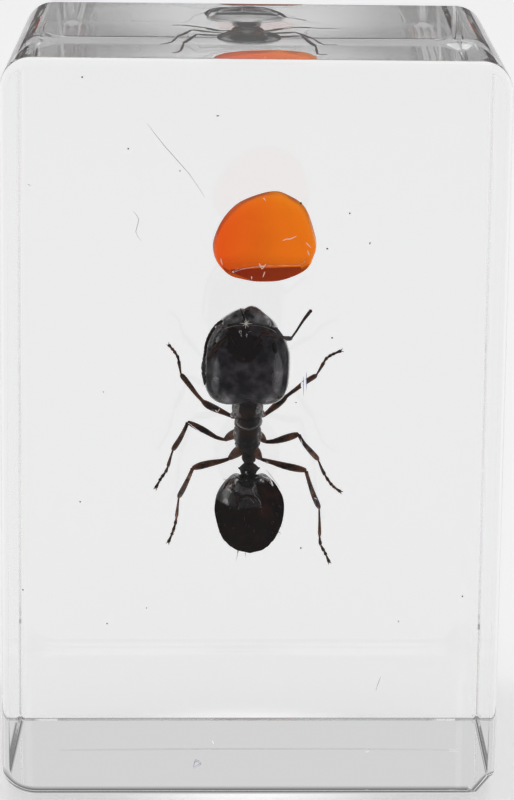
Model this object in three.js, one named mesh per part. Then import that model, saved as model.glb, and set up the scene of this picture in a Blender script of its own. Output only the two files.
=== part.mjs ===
// A specimen block of clear casting resin, cut to a small upright slab and polished by hand.
// It stands on its short end face. Units are millimetres: +X is to the viewer's right,
// +Y runs from the front face to the back face, +Z is up, and the origin is the middle of the base.
import * as THREE from "three";

// Driving dimensions.
const HEIGHT = 44; // base to the highest point of the top face
const WIDTH = 29.1; // across the widest points of the two side faces
const DEPTH = 21.5; // front face to back face

// Hand polishing leaves the faces a little out of square.
const LEFT_LEAN = 0.5; // the left side leans in by this much from foot to top
const RIGHT_LEAN = 0.1; // the right side leans in by this much from top to foot
const TOP_FALL = 0.2; // the top face falls by this much from left to right

// Rounding of the upright edges' ends, as seen from the front.
const TOP_CORNER_RADIUS = 1.8;
const FOOT_CORNER_RADIUS = 2.1;
const CHAMFER_WIDTH = 1.2; // the right foot corner is ground off flat instead
const CHAMFER_HEIGHT = 1.5;
const CHAMFER_RADIUS = 0.7; // where that flat meets the side and the base

// Rounding of the edges around the front and the back face.
const EDGE_RADIUS = 0.48;
const EDGE_STEPS = 5;
const ARC_STEPS = 6;

// The corners of the outline, anticlockwise as seen from the front, before they are rounded.
function outlineCorners() {
  const left = -WIDTH / 2;
  const right = WIDTH / 2;
  return [
    { x: left, z: 0, radius: FOOT_CORNER_RADIUS },
    { x: right - RIGHT_LEAN - CHAMFER_WIDTH, z: 0, radius: CHAMFER_RADIUS },
    { x: right - RIGHT_LEAN, z: CHAMFER_HEIGHT, radius: CHAMFER_RADIUS },
    { x: right, z: HEIGHT - TOP_FALL, radius: TOP_CORNER_RADIUS },
    { x: left + LEFT_LEAN, z: HEIGHT, radius: TOP_CORNER_RADIUS },
  ];
}

// A closed shape with an arc at each corner that is tangent to both sides that meet there.
function roundedOutline(corners) {
  const shape = new THREE.Shape();
  corners.forEach((corner, i) => {
    const at = new THREE.Vector2(corner.x, corner.z);
    const before = corners[(i + corners.length - 1) % corners.length];
    const after = corners[(i + 1) % corners.length];
    const back = new THREE.Vector2(before.x, before.z).sub(at).normalize();
    const ahead = new THREE.Vector2(after.x, after.z).sub(at).normalize();
    const halfAngle = Math.acos(back.dot(ahead)) / 2;
    const reach = corner.radius / Math.tan(halfAngle);
    const start = back.clone().multiplyScalar(reach).add(at);
    const end = ahead.clone().multiplyScalar(reach).add(at);
    const centre = back
      .clone()
      .add(ahead)
      .setLength(corner.radius / Math.sin(halfAngle))
      .add(at);
    const startAngle = start.sub(centre).angle();
    const endAngle = end.sub(centre).angle();
    shape.absarc(centre.x, centre.y, corner.radius, startAngle, endAngle, false);
  });
  shape.closePath();
  return shape;
}

// The block: the outline drawn through the depth, with its front and back edges rounded.
function resinBlock() {
  const geometry = new THREE.ExtrudeGeometry(roundedOutline(outlineCorners()), {
    depth: DEPTH - 2 * EDGE_RADIUS,
    steps: 1,
    curveSegments: ARC_STEPS,
    bevelEnabled: true,
    bevelSegments: EDGE_STEPS,
    bevelSize: EDGE_RADIUS,
    bevelThickness: EDGE_RADIUS,
    bevelOffset: -EDGE_RADIUS,
  });
  geometry.rotateX(Math.PI / 2); // the outline's height becomes +Z
  geometry.computeBoundingBox();
  const middle = geometry.boundingBox.getCenter(new THREE.Vector3());
  geometry.translate(-middle.x, -middle.y, -geometry.boundingBox.min.z);
  const material = new THREE.MeshStandardMaterial({
    color: 0xeef0f2,
    roughness: 0.04,
    metalness: 0,
    transparent: true,
    opacity: 0.3,
  });
  const mesh = new THREE.Mesh(geometry, material);
  mesh.name = "resin_block";
  return mesh;
}

const specimenBlock = new THREE.Group();
specimenBlock.name = "specimen_block";
specimenBlock.add(resinBlock());

export default specimenBlock;
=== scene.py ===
# %% [markdown]
# # An ant and a chip of amber in a block of clear resin
# The block is cast resin, sawn to a small upright slab and polished by hand. A big-headed ant
# lies flat in it, back towards the front face, and a chip of amber sits above its head.
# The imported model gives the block's box. Everything sealed inside is made here, in millimetres,
# and each finished piece is scaled to metres when it is settled into the scene.

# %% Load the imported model
import math
import random

import bmesh
import bpy
from mathutils import Matrix, Vector, noise
from mathutils.bvhtree import BVHTree


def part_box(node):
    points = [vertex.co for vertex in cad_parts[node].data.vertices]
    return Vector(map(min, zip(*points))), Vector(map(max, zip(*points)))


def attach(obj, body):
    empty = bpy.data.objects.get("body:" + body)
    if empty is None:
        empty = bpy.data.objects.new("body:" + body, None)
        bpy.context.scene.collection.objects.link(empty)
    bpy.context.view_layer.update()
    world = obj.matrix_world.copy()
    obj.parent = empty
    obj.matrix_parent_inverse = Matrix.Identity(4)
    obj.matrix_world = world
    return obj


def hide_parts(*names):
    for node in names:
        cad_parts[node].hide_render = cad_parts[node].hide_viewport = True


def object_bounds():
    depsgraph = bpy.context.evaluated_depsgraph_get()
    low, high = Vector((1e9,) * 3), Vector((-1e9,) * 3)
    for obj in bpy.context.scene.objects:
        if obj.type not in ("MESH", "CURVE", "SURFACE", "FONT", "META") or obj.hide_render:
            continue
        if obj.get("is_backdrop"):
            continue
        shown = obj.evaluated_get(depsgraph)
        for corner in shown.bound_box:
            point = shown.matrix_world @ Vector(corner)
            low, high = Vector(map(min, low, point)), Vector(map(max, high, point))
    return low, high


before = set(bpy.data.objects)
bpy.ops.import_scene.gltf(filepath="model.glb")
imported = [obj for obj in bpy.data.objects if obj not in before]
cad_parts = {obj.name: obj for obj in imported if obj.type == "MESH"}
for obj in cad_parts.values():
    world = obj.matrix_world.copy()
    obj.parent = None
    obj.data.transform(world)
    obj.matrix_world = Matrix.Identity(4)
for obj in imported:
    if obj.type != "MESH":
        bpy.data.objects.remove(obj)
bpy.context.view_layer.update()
MM = 0.001  # one millimetre in Blender's metres
low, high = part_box("resin_block")
WIDTH, DEPTH, HEIGHT = ((top - bottom) / MM for bottom, top in zip(low, high))
FRONT = -DEPTH / 2  # y of the front face
print("resin block, mm:", round(WIDTH, 2), round(DEPTH, 2), round(HEIGHT, 2))

# %% [markdown]
# ## Camera
# A long lens stands a little above the block and looks down on it by fifteen degrees, so the top
# face shows as a thin strip. It could be aimed with a constraint, but three angles and a place
# written out are easier to read and never drift.

# %% Camera
CAMERA_PLACE = Vector((-2.424, -187.342, 72.767))
CAMERA_YAW = math.radians(0.895)
CAMERA_PITCH = math.radians(15.309)
CAMERA_ROLL = math.radians(0.292)
LENS = 145.02  # millimetres, on a sensor 36 mm on its longer side


def look_through(place, yaw, pitch, roll):
    """The camera's matrix, from its place and three turns."""
    ahead = Vector((
        math.sin(yaw) * math.cos(pitch),
        math.cos(yaw) * math.cos(pitch),
        -math.sin(pitch),
    ))
    right = Vector((math.cos(yaw), -math.sin(yaw), 0.0))
    up = right.cross(ahead)
    level_right = math.cos(roll) * right + math.sin(roll) * up
    level_up = -math.sin(roll) * right + math.cos(roll) * up
    matrix = Matrix((level_right, level_up, -ahead)).transposed().to_4x4()
    matrix.translation = place * MM
    return matrix


scene = bpy.context.scene
lens = bpy.data.cameras.new("camera")
lens.sensor_width = 36
lens.lens = LENS
lens.clip_start = 0.01
camera = bpy.data.objects.new("camera", lens)
scene.collection.objects.link(camera)
camera.matrix_world = look_through(CAMERA_PLACE, CAMERA_YAW, CAMERA_PITCH, CAMERA_ROLL)
scene.camera = camera
print("camera distance, mm:", round(CAMERA_PLACE.length))

# %% [markdown]
# ## Helpers for materials
# Each material is a Principled shader fed by a few texture nodes. Four helpers add a node with its
# values, join nodes, lay a pattern on a piece and mix two colours by a noise, so that a material
# reads as a list of its steps. Patterns lie on Object coordinates, moved to a middle of their own
# by a Mapping node: Generated coordinates would stretch with the shape of each piece.

# %% Node helpers
def add_node(tree, kind, **values):
    """A new node, with its settings and its input values by name."""
    node = tree.nodes.new(kind)
    for name, value in values.items():
        if hasattr(node, name):
            setattr(node, name, value)
        else:
            node.inputs[name.replace("_", " ")].default_value = value
    return node


def join(tree, *links):
    """Links each (node, its output, next node, its input)."""
    for giver, output, taker, socket in links:
        tree.links.new(giver.outputs[output], taker.inputs[socket])


def pattern_place(tree, middle=(0, 0, 0)):
    """Object coordinates, with the middle of the pattern moved to a place in the block."""
    place = add_node(tree, "ShaderNodeTexCoord")
    centre = add_node(tree, "ShaderNodeMapping")
    centre.inputs["Location"].default_value = [-part for part in middle]
    join(tree, (place, "Object", centre, "Vector"))
    return centre


def two_tones(tree, where, shader, tones, **values):
    """Mixes two colours by a noise into a shader's Base Color, and returns the noise."""
    mottling = add_node(tree, "ShaderNodeTexNoise", **values)
    mixed = add_node(tree, "ShaderNodeMix", data_type="RGBA")
    for socket, tone in zip("AB", tones):
        mixed.inputs[socket].default_value = (*tone, 1)
    join(
        tree,
        (where, "Vector", mottling, "Vector"),
        (mottling, "Fac", mixed, "Factor"),
        (mixed, "Result", shader, "Base Color"),
    )
    return mottling


def new_material(name, **values):
    """A material with a Principled shader, and that shader's values by name."""
    material = bpy.data.materials.new(name)
    material.use_nodes = True
    shader = material.node_tree.nodes["Principled BSDF"]
    for socket, value in values.items():
        shader.inputs[socket.replace("_", " ")].default_value = value
    return material, material.node_tree, shader


BLOCK_MIDDLE = (0, 0, HEIGHT / 2 * MM)
print("patterns are centred on, m:", BLOCK_MIDDLE)

# %% [markdown]
# ## Floor and light
# The block stands on a pale opal sheet that is lit a little from beneath, most of all right under
# the block, as on a light table. A wide plane is enough for it. The glow is a number that falls
# off smoothly from the middle; a lamp under a see-through sheet would take far longer to render.
# The floor stays out of mirror reflections, so that the front face looks clean.

# %% Floor
FLOOR_GAP = 0.03  # mm, so that the base and the sheet never share a plane
SHEET_GLOW = 0.335
PAD_GLOW = 0.90  # more, in a soft spot right under the block
PAD_START = 0.004  # metres from the middle, where the spot begins to fade
PAD_END = 0.0138
SHEET_TONES = (0.895, 0.905)
SHEET_HALF = 2.0  # metres
sheet_material, tree, shader = new_material(
    "pale_sheet", Roughness=0.9, Specular_IOR_Level=0.0,
    Emission_Color=(1.0, 1.0, 1.0, 1.0),
)
centre = pattern_place(tree)
paper = add_node(tree, "ShaderNodeTexNoise", Scale=40.0, Detail=3.0)
tone = add_node(tree, "ShaderNodeMapRange", To_Min=SHEET_TONES[0], To_Max=SHEET_TONES[1])
from_middle = add_node(tree, "ShaderNodeVectorMath", operation="LENGTH")
pad = add_node(
    tree, "ShaderNodeMapRange", interpolation_type="SMOOTHSTEP",
    From_Min=PAD_START, From_Max=PAD_END, To_Min=SHEET_GLOW + PAD_GLOW, To_Max=SHEET_GLOW,
)
join(
    tree,
    (centre, "Vector", paper, "Vector"),
    (paper, "Fac", tone, "Value"),
    (tone, "Result", shader, "Base Color"),
    (centre, "Vector", from_middle, 0),
    (from_middle, "Value", pad, "Value"),
    (pad, "Result", shader, "Emission Strength"),
)
bm = bmesh.new()
bmesh.ops.create_grid(bm, x_segments=1, y_segments=1, size=SHEET_HALF)
bmesh.ops.translate(bm, vec=(0, 0, -FLOOR_GAP * MM), verts=bm.verts)
mesh = bpy.data.meshes.new("floor")
bm.to_mesh(mesh)
bm.free()
mesh.materials.append(sheet_material)
floor = bpy.data.objects.new("floor", mesh)
scene.collection.objects.link(floor)
floor.visible_glossy = False
floor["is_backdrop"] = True
print("floor half width, m:", SHEET_HALF, "glow:", SHEET_GLOW)

# %% [markdown]
# Clear resin shows little of its own: what is seen in it is the light around it. So the
# surroundings are bright behind and at the sides and dark in front, where a photographer would
# stand. Cards and cloths could be modelled, but a few ramps over the direction of the light do
# the same, cost no time to render and leave no stray shapes in the mirror faces.

# %% Surroundings
BACK_LEVEL = 0.71
BACK_HORIZON_SHARE = 0.25
FRONT_LEVEL = 0.30
FRONT_FLOOR_SHARE = 0.6
SIDE_CARD_LEVEL = 0.9
world = bpy.data.worlds.new("studio")
scene.world = world
world.use_nodes = True
tree = world.node_tree
sky = tree.nodes["Background"]
sky.inputs["Color"].default_value = (1, 1, 1, 1)
ways = add_node(tree, "ShaderNodeTexCoord")
axes = add_node(tree, "ShaderNodeSeparateXYZ")
back_to_front = add_node(
    tree, "ShaderNodeMapRange", interpolation_type="SMOOTHSTEP",
    From_Min=-0.35, From_Max=0.45, To_Min=FRONT_LEVEL, To_Max=BACK_LEVEL,
)
sideways = add_node(tree, "ShaderNodeMath", operation="ABSOLUTE")
side_card = add_node(
    tree, "ShaderNodeMapRange", interpolation_type="SMOOTHSTEP",
    From_Min=0.86, From_Max=0.93, To_Max=SIDE_CARD_LEVEL,
)
with_cards = add_node(tree, "ShaderNodeMath", operation="ADD")
below = add_node(tree, "ShaderNodeMath", operation="LESS_THAN")
below.inputs[1].default_value = 0.0
low_sky = add_node(
    tree, "ShaderNodeMapRange", From_Min=0.13, From_Max=0.36, To_Min=BACK_HORIZON_SHARE,
)
dimmed = add_node(tree, "ShaderNodeMath", operation="MULTIPLY")
floor_side = add_node(
    tree, "ShaderNodeMapRange", From_Min=-0.2, From_Max=0.1, To_Min=FRONT_FLOOR_SHARE,
)
level = add_node(tree, "ShaderNodeMix", data_type="FLOAT")
seen_by = add_node(tree, "ShaderNodeLightPath")
strength = add_node(tree, "ShaderNodeMix", data_type="FLOAT")
strength.inputs[3].default_value = 1.0  # the camera itself sees plain white
join(
    tree,
    (ways, "Generated", axes, 0),
    (axes, "Y", back_to_front, "Value"),
    (axes, "X", sideways, 0),
    (sideways, 0, side_card, "Value"),
    (axes, "Z", low_sky, "Value"),
    (back_to_front, 0, dimmed, 0),
    (axes, "Z", below, 0),
    (axes, "Y", floor_side, "Value"),
    (below, 0, level, 0),
    (low_sky, 0, level, 2),
    (floor_side, 0, level, 3),
    (level, 0, dimmed, 1),
    (dimmed, 0, with_cards, 0),
    (side_card, 0, with_cards, 1),
    (seen_by, "Is Camera Ray", strength, 0),
    (with_cards, 0, strength, 2),
    (strength, 0, sky, "Strength"),
)
print("surroundings: back", BACK_LEVEL, "front", FRONT_LEVEL)

# %% [markdown]
# One broad lamp hangs above and a little behind the block. Being broad, it gives soft shadows.
# Light is turned back inside the block many times, so the renderer is allowed many bounces.

# %% Overhead lamp
LAMP_PLACE = Vector((0.0, 0.12, 0.5))
LAMP_AIM = Vector((0.0, 0.03, 0.0))
LAMP_WIDTH = 0.5
LAMP_DEPTH = 0.4
LAMP_WATTS = 0.38
lamp = bpy.data.lights.new("overhead_lamp", "AREA")
lamp.shape = "RECTANGLE"
lamp.size = LAMP_WIDTH
lamp.size_y = LAMP_DEPTH
lamp.energy = LAMP_WATTS
lamp_object = bpy.data.objects.new("overhead_lamp", lamp)
lamp_object.location = LAMP_PLACE
lamp_object.rotation_euler = (LAMP_AIM - LAMP_PLACE).to_track_quat("-Z", "Y").to_euler()
lamp_object.visible_camera = False
scene.collection.objects.link(lamp_object)
scene.view_settings.view_transform = "Standard"
scene.cycles.max_bounces = 24
scene.cycles.glossy_bounces = 16
scene.cycles.transmission_bounces = 20
scene.cycles.diffuse_bounces = 4
print("lamp power, W:", lamp.energy)

# %% [markdown]
# ## Shape helpers
# An insect is a chain of round shells: head, waist, legs and feelers. Each shell could be a
# sphere pulled about by hand, but a loft says more plainly what it is. A ring of points starts at
# one end, is extruded from station to station, and takes each station's place, width and depth.
# A station is (x, depth behind the front face, z, half width, half depth), all in millimetres.

# %% Places and smooth rows
def between(chosen, steps):
    """The chosen rows with others between them, on a smooth curve through every one."""
    rows = [chosen[0], *chosen, chosen[-1]]
    filled = []
    for a, b, c, d in zip(rows, rows[1:], rows[2:], rows[3:]):
        for step in range(steps):
            t = step / steps
            filled.append(tuple(
                q + 0.5 * t * (r - p + t * (2 * p - 5 * q + 4 * r - s + t * (3 * q - p - 3 * r + s)))
                for p, q, r, s in zip(a, b, c, d)
            ))
    return [*filled, tuple(chosen[-1])]


def spot(x, depth, z):
    """A place in the block, from its depth behind the front face."""
    return Vector((x, FRONT + depth, z))


def ease(value, start, end):
    """0 before start, 1 after end, and smooth between."""
    t = min(max((value - start) / (end - start), 0.0), 1.0)
    return t * t * (3 - 2 * t)


def band(x, middle, half, soft=0.04):
    """1 within half of the middle, 0 outside, soft at both edges."""
    return 1 - ease(abs(x - middle), half - soft, half + soft)


print("three rows with others between:", between([(0.0,), (1.0,), (0.0,)], 2))

# %% [markdown]
# A loft's rings lie square to the way the shell runs, or level where the shell stands upright.
# Each ring is extruded from the one before and moved into its own place by one matrix. Both ends
# are closed with a point that stands out a little, so that they are round and not cut off.

# %% Loft
TIP_REACH = 0.4  # how far the closing point stands out, as a share of the end's half size


def station_frame(rows, i, upright):
    """Where ring i lies: its width, its depth and the way the shell runs are its three axes."""
    x, depth, z, half_width, half_depth = rows[i]
    run = Vector((0, 0, 1))
    if not upright:
        run = spot(*rows[min(i + 1, len(rows) - 1)][:3]) - spot(*rows[max(i - 1, 0)][:3])
        run.normalize()
    across = run.cross(Vector((0, -1, 0))).normalized()
    outward = across.cross(run)
    axes = (across * half_width, outward * half_depth, run * max(half_width, half_depth))
    matrix = Matrix(axes).transposed().to_4x4()
    matrix.translation = spot(x, depth, z)
    return matrix


def draw_out(bm, edges):
    """Extrudes a loop of edges and returns the new loop's points and edges."""
    grown = bmesh.ops.extrude_edge_only(bm, edges=edges)["geom"]
    ring = [part for part in grown if isinstance(part, bmesh.types.BMVert)]
    fresh = set(ring)
    loop = [
        part for part in grown
        if isinstance(part, bmesh.types.BMEdge) and fresh.issuperset(part.verts)
    ]
    return ring, loop


def loft(bm, chosen, sides, steps=4, upright=False):
    """A closed shell through the chosen stations."""
    rows = between(chosen, steps)
    ring = bmesh.ops.create_circle(bm, cap_ends=False, segments=sides, radius=1.0)["verts"]
    made = list(ring)
    loop = list(dict.fromkeys(edge for vert in ring for edge in vert.link_edges))
    first_loop = loop
    placed = Matrix.Identity(4)
    for i in range(len(rows)):
        if i:
            ring, loop = draw_out(bm, loop)
            made += ring
        here = station_frame(rows, i, upright)
        bmesh.ops.transform(bm, matrix=here @ placed.inverted(), verts=ring)
        placed = here
    ends = ((first_loop, rows[0], rows[1]), (loop, rows[-1], rows[-2]))
    for end_loop, end, inner in ends:
        tip = spot(*end[:3])
        away = (tip - spot(*inner[:3])).normalized() * min(end[3:]) * TIP_REACH
        ring, _ = draw_out(bm, end_loop)
        bmesh.ops.pointmerge(bm, verts=ring, merge_co=tip + away)
    return [vert for vert in made if vert.is_valid]


bm = bmesh.new()
loft(bm, [(0, 0, 0, 1, 1), (0, 0, 1, 1, 1)], 12)
print("a loft of two stations and 12 sides, faces:", len(bm.faces))
bm.free()

# %% [markdown]
# Long pieces such as a thigh or a feeler follow a route, and swell and narrow on the way. The
# route is a few given points. The swelling is a profile of (fraction of the way, half width).
# Hairs are thin tapering limbs of four sides, since there are hundreds of them.

# %% Limbs along a route
ROUTE_STEPS = 10
SPINE_TAPER = (1.0, 0.75, 0.25)


def limb(bm, route, profile, sides=12, flat=1.0):
    """A shell along a route, with half widths by fraction of its length."""
    path = [spot(*point) for point in between(route, ROUTE_STEPS)]
    reach = [0.0]
    for a, b in zip(path, path[1:]):
        reach.append(reach[-1] + (b - a).length)
    stations = []
    for fraction, half in profile:
        goal = fraction * reach[-1]
        i = max(k for k in range(len(path) - 1) if reach[k] <= goal or k == 0)
        part = (goal - reach[i]) / max(reach[i + 1] - reach[i], 1e-9)
        point = path[i].lerp(path[i + 1], min(part, 1.0))
        stations.append((point.x, point.y - FRONT, point.z, half, half * flat))
    loft(bm, stations, sides, steps=2)
    return stations


def spine(bm, root, way, length, half, bend=0.25):
    """A stiff tapering hair from its root, bent a little downwards."""
    way = way.normalized()
    droop = Vector((0, 0.3, -1)) * length * bend
    points = [root, root + way * length * 0.5, root + way * length + droop]
    stations = [
        (p.x, p.y - FRONT, p.z, half * taper, half * taper)
        for p, taper in zip(points, SPINE_TAPER)
    ]
    loft(bm, stations, 4, steps=1)


def split_route(route, cuts):
    """The pieces of a route between fractions of its number of points."""
    fine = between(route, 12)
    ends = [round(cut * (len(fine) - 1)) for cut in cuts]
    return [fine[a:b + 1] for a, b in zip(ends, ends[1:])]


bm = bmesh.new()
spine(bm, Vector((0, 0, 0)), Vector((0, 0, 1)), 1.0, 0.1)
print("one hair, faces:", len(bm.faces))
bm.free()

# %% [markdown]
# A finished piece has its place in its mesh, and its object stays at the origin, unturned and
# unscaled, as the imported model's does. So one function turns the millimetres to metres, points
# the faces outwards and gives the piece its material and its body. A second one paints
# a number on each point, by a rule, for the material to read.

# %% Settle and paint a piece
def settle(name, bm, material, levels=0):
    """Turns a shape in millimetres into a finished piece that rides on the block."""
    bmesh.ops.recalc_face_normals(bm, faces=bm.faces)
    for face in bm.faces:
        face.smooth = True
    bmesh.ops.scale(bm, vec=(MM, MM, MM), verts=bm.verts)
    mesh = bpy.data.meshes.new(name)
    bm.to_mesh(mesh)
    bm.free()
    mesh.materials.append(material)
    piece = bpy.data.objects.new(name, mesh)
    scene.collection.objects.link(piece)
    if levels:
        rounding = piece.modifiers.new("rounding", "SUBSURF")
        rounding.levels = levels
        rounding.render_levels = levels
    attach(piece, "root")
    print(name, "faces:", len(mesh.polygons))
    return piece


def paint(piece, rule, name="air_film"):
    """Stores a number at each point of a piece, for its material to read by name."""
    mesh = piece.data
    layer = mesh.attributes.new(name, "FLOAT", "POINT")
    for vert in mesh.vertices:
        x, y, z = vert.co / MM
        layer.data[vert.index].value = rule(x, y - FRONT, z, vert.normal)
    values = [entry.value for entry in layer.data]
    print(piece.name, name, "from", round(min(values), 3), "to", round(max(values), 3))


# %% [markdown]
# ## The resin
# Clear casting resin bends light by 1.546 and takes a little of it on the way, green least. A
# plain glass shader with an absorbing volume does that. Hand polishing leaves the faces faintly
# wavy, which a very low bump on a broad noise gives; more would blur the ant.

# %% Resin material
resin, tree, shader = new_material(
    "clear_casting_resin", Roughness=0.0, IOR=1.546, Transmission_Weight=1.0,
)
centre = pattern_place(tree, BLOCK_MIDDLE)
CLEAR_TONES = ((0.995, 0.998, 1.0), (1.0, 1.0, 0.998))
two_tones(tree, centre, shader, CLEAR_TONES, Scale=25.0, Detail=1.0)
waves = add_node(tree, "ShaderNodeTexNoise", Scale=70.0, Detail=1.0)
polish = add_node(tree, "ShaderNodeBump", Strength=0.05, Distance=0.00005)
depth_tint = add_node(tree, "ShaderNodeVolumeAbsorption", Density=1.5)
depth_tint.inputs["Color"].default_value = (0.10, 0.11, 0.13, 1)
join(
    tree,
    (centre, "Vector", waves, "Vector"),
    (waves, "Fac", polish, "Height"),
    (polish, "Normal", shader, "Normal"),
    (depth_tint, "Volume", tree.nodes["Material Output"], "Volume"),
)
print("resin bends light by", shader.inputs["IOR"].default_value)

# %% [markdown]
# The block's outline is a rounded five-sided shape: two wide arcs above, one below on the left,
# and the right foot corner ground off flat. A ring with that outline is drawn from the front face
# to the back. It starts a little inside, so the front edge is round, and the last rings round the
# back edge. The foot is worn rounder along its front, and the left foot corner is round only
# near the front. Rings with their own radii do both, which one bevel cannot.

# %% Block outline
LEFT_LEAN = 0.5
RIGHT_LEAN = 0.1
TOP_FALL = 0.2
GROUND_WIDTH = 1.2
GROUND_HEIGHT = 1.5
GROUND_RADIUS = 0.9
GROUND_SHARE_BEHIND = 0.15
TOP_RADIUS = 1.8
FOOT_RADIUS = 2.1
FOOT_RADIUS_BEHIND = 0.35
ARC_STEPS = 16


def outline(near):
    """(x, z, way out) round the outline, anticlockwise from the left foot corner.

    near is 1 at the front face, where the foot corners are worn most, and 0 well behind it.
    """
    right = WIDTH / 2
    foot_radius = FOOT_RADIUS_BEHIND + (FOOT_RADIUS - FOOT_RADIUS_BEHIND) * near
    ground = GROUND_SHARE_BEHIND + (1 - GROUND_SHARE_BEHIND) * near
    corners = [
        (-right, 0.0, foot_radius),
        (right - RIGHT_LEAN - GROUND_WIDTH * ground, 0.0, GROUND_RADIUS * ground),
        (right - RIGHT_LEAN, GROUND_HEIGHT * ground, GROUND_RADIUS * ground),
        (right, HEIGHT - TOP_FALL, TOP_RADIUS),
        (-right + LEFT_LEAN, HEIGHT, TOP_RADIUS),
    ]
    points = []
    for i, (x, z, radius) in enumerate(corners):
        corner = Vector((x, z))
        back = (Vector(corners[i - 1][:2]) - corner).normalized()
        ahead = (Vector(corners[(i + 1) % 5][:2]) - corner).normalized()
        centre = corner + (back + ahead).normalized() * radius / math.sin(back.angle(ahead) / 2)
        first = Vector((-back.y, back.x)).normalized()
        last = Vector((ahead.y, -ahead.x)).normalized()
        for step in range(ARC_STEPS + 1):
            out = first.slerp(last, step / ARC_STEPS)
            points.append((centre.x + out.x * radius, centre.y + out.y * radius, out))
    return points


print("points round the outline:", len(outline(1.0)))

# %% [markdown]
# Each ring has a depth and a distance inside the outline. On the round front edge both follow a
# quarter circle, which is wider and flatter along the worn foot. A Weighted Normal modifier then
# keeps the big faces flat to the eye, so that they mirror and bend light without a bulge.

# %% Block shape
EDGE_RADIUS = 0.48
FOOT_EDGE_RISE = 0.95
FOOT_EDGE_REACH = 1.3
BACK_EDGE_RADIUS = 0.18
LEFT_TAPER = 0.024  # share by which the left half is narrower at the back
EDGE_STEPS = 8
MIDDLE_DEPTHS = (1.6, 2.0, 2.4, 2.8, 3.2, 3.6, 4.0, 4.5, 5.0)
WEAR_START = 0.3  # depths between which the wear of the foot corners fades
WEAR_END = 3.6


def front_ring(a, low):
    """(depth, how far inside the outline) on the front edge, at angle a; low is 1 on the foot."""
    reach = EDGE_RADIUS + (FOOT_EDGE_REACH - EDGE_RADIUS) * low
    rise = EDGE_RADIUS + (FOOT_EDGE_RISE - EDGE_RADIUS) * low
    return reach * (1 - math.cos(a)), rise * (1 - math.sin(a))


def back_ring(a, low):
    """The same on the back edge, which is alike all the way round."""
    return DEPTH - BACK_EDGE_RADIUS * (1 - math.sin(a)), BACK_EDGE_RADIUS * (1 - math.cos(a))


def middle_ring(depth, low):
    """The same between the edges, where the rings lie on the outline."""
    return depth, 0.0


QUARTER = [math.pi / 2 * step / EDGE_STEPS for step in range(EDGE_STEPS + 1)]
RINGS = [(front_ring, a) for a in QUARTER]
RINGS += [(middle_ring, depth) for depth in MIDDLE_DEPTHS]
RINGS += [(back_ring, a) for a in QUARTER]
bm = bmesh.new()
turn = bm.verts.layers.int.new("turn")
count = len(outline(1.0))
ring = bmesh.ops.create_circle(bm, cap_ends=True, segments=count, radius=1.0)["verts"]
for i, vert in enumerate(ring):
    vert[turn] = i
loop = list(bm.edges)
for step, (rule, value) in enumerate(RINGS):
    if step:
        ring, loop = draw_out(bm, loop)
    start = rule(value, 0.0)[0]
    shape = outline(1 - ease(start, WEAR_START, WEAR_END))
    for vert in ring:
        x, z, out = shape[vert[turn]]
        depth, inward = rule(value, max(-out.y, 0.0) ** 2)
        taper = 1 - LEFT_TAPER * depth / DEPTH if x < 0 else 1.0
        vert.co = ((x - out.x * inward) * taper, FRONT + depth, z - out.y * inward)
bmesh.ops.edgeloop_fill(bm, edges=loop)
block = settle("resin_clear", bm, resin)
faces_flat = block.modifiers.new("faces_flat", "WEIGHTED_NORMAL")
faces_flat.weight = 100
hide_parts("resin_block")

# %% [markdown]
# ## The ant's skin
# Ant cuticle is a hard, dark brown shell. Where resin wets it, it reflects almost nothing and
# looks dead black. Where the resin has shrunk away from it, a film of air is left: light that
# meets the film steeply goes through to the black shell, and light that grazes it is thrown back
# whole, so edges turn silver. The number painted on each piece, air_film, says how much film
# there is. A Fresnel node with the index of air seen from inside resin gives the share of light
# thrown back. The shell's own colour and that share are then packed in one metal-like shader.

# %% Cuticle node group
AIR_IN_RESIN = 1 / 1.546
SOAKED_COLOUR = (0.012, 0.008, 0.008, 1)  # shell that resin has crept into
LEAST_SHELL = 0.004  # keeps the share of silver from being divided by nothing


def add_socket(tree, name, kind, way):
    """A named input or output on a node group."""
    tree.interface.new_socket(name=name, socket_type="NodeSocket" + kind, in_out=way)


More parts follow.
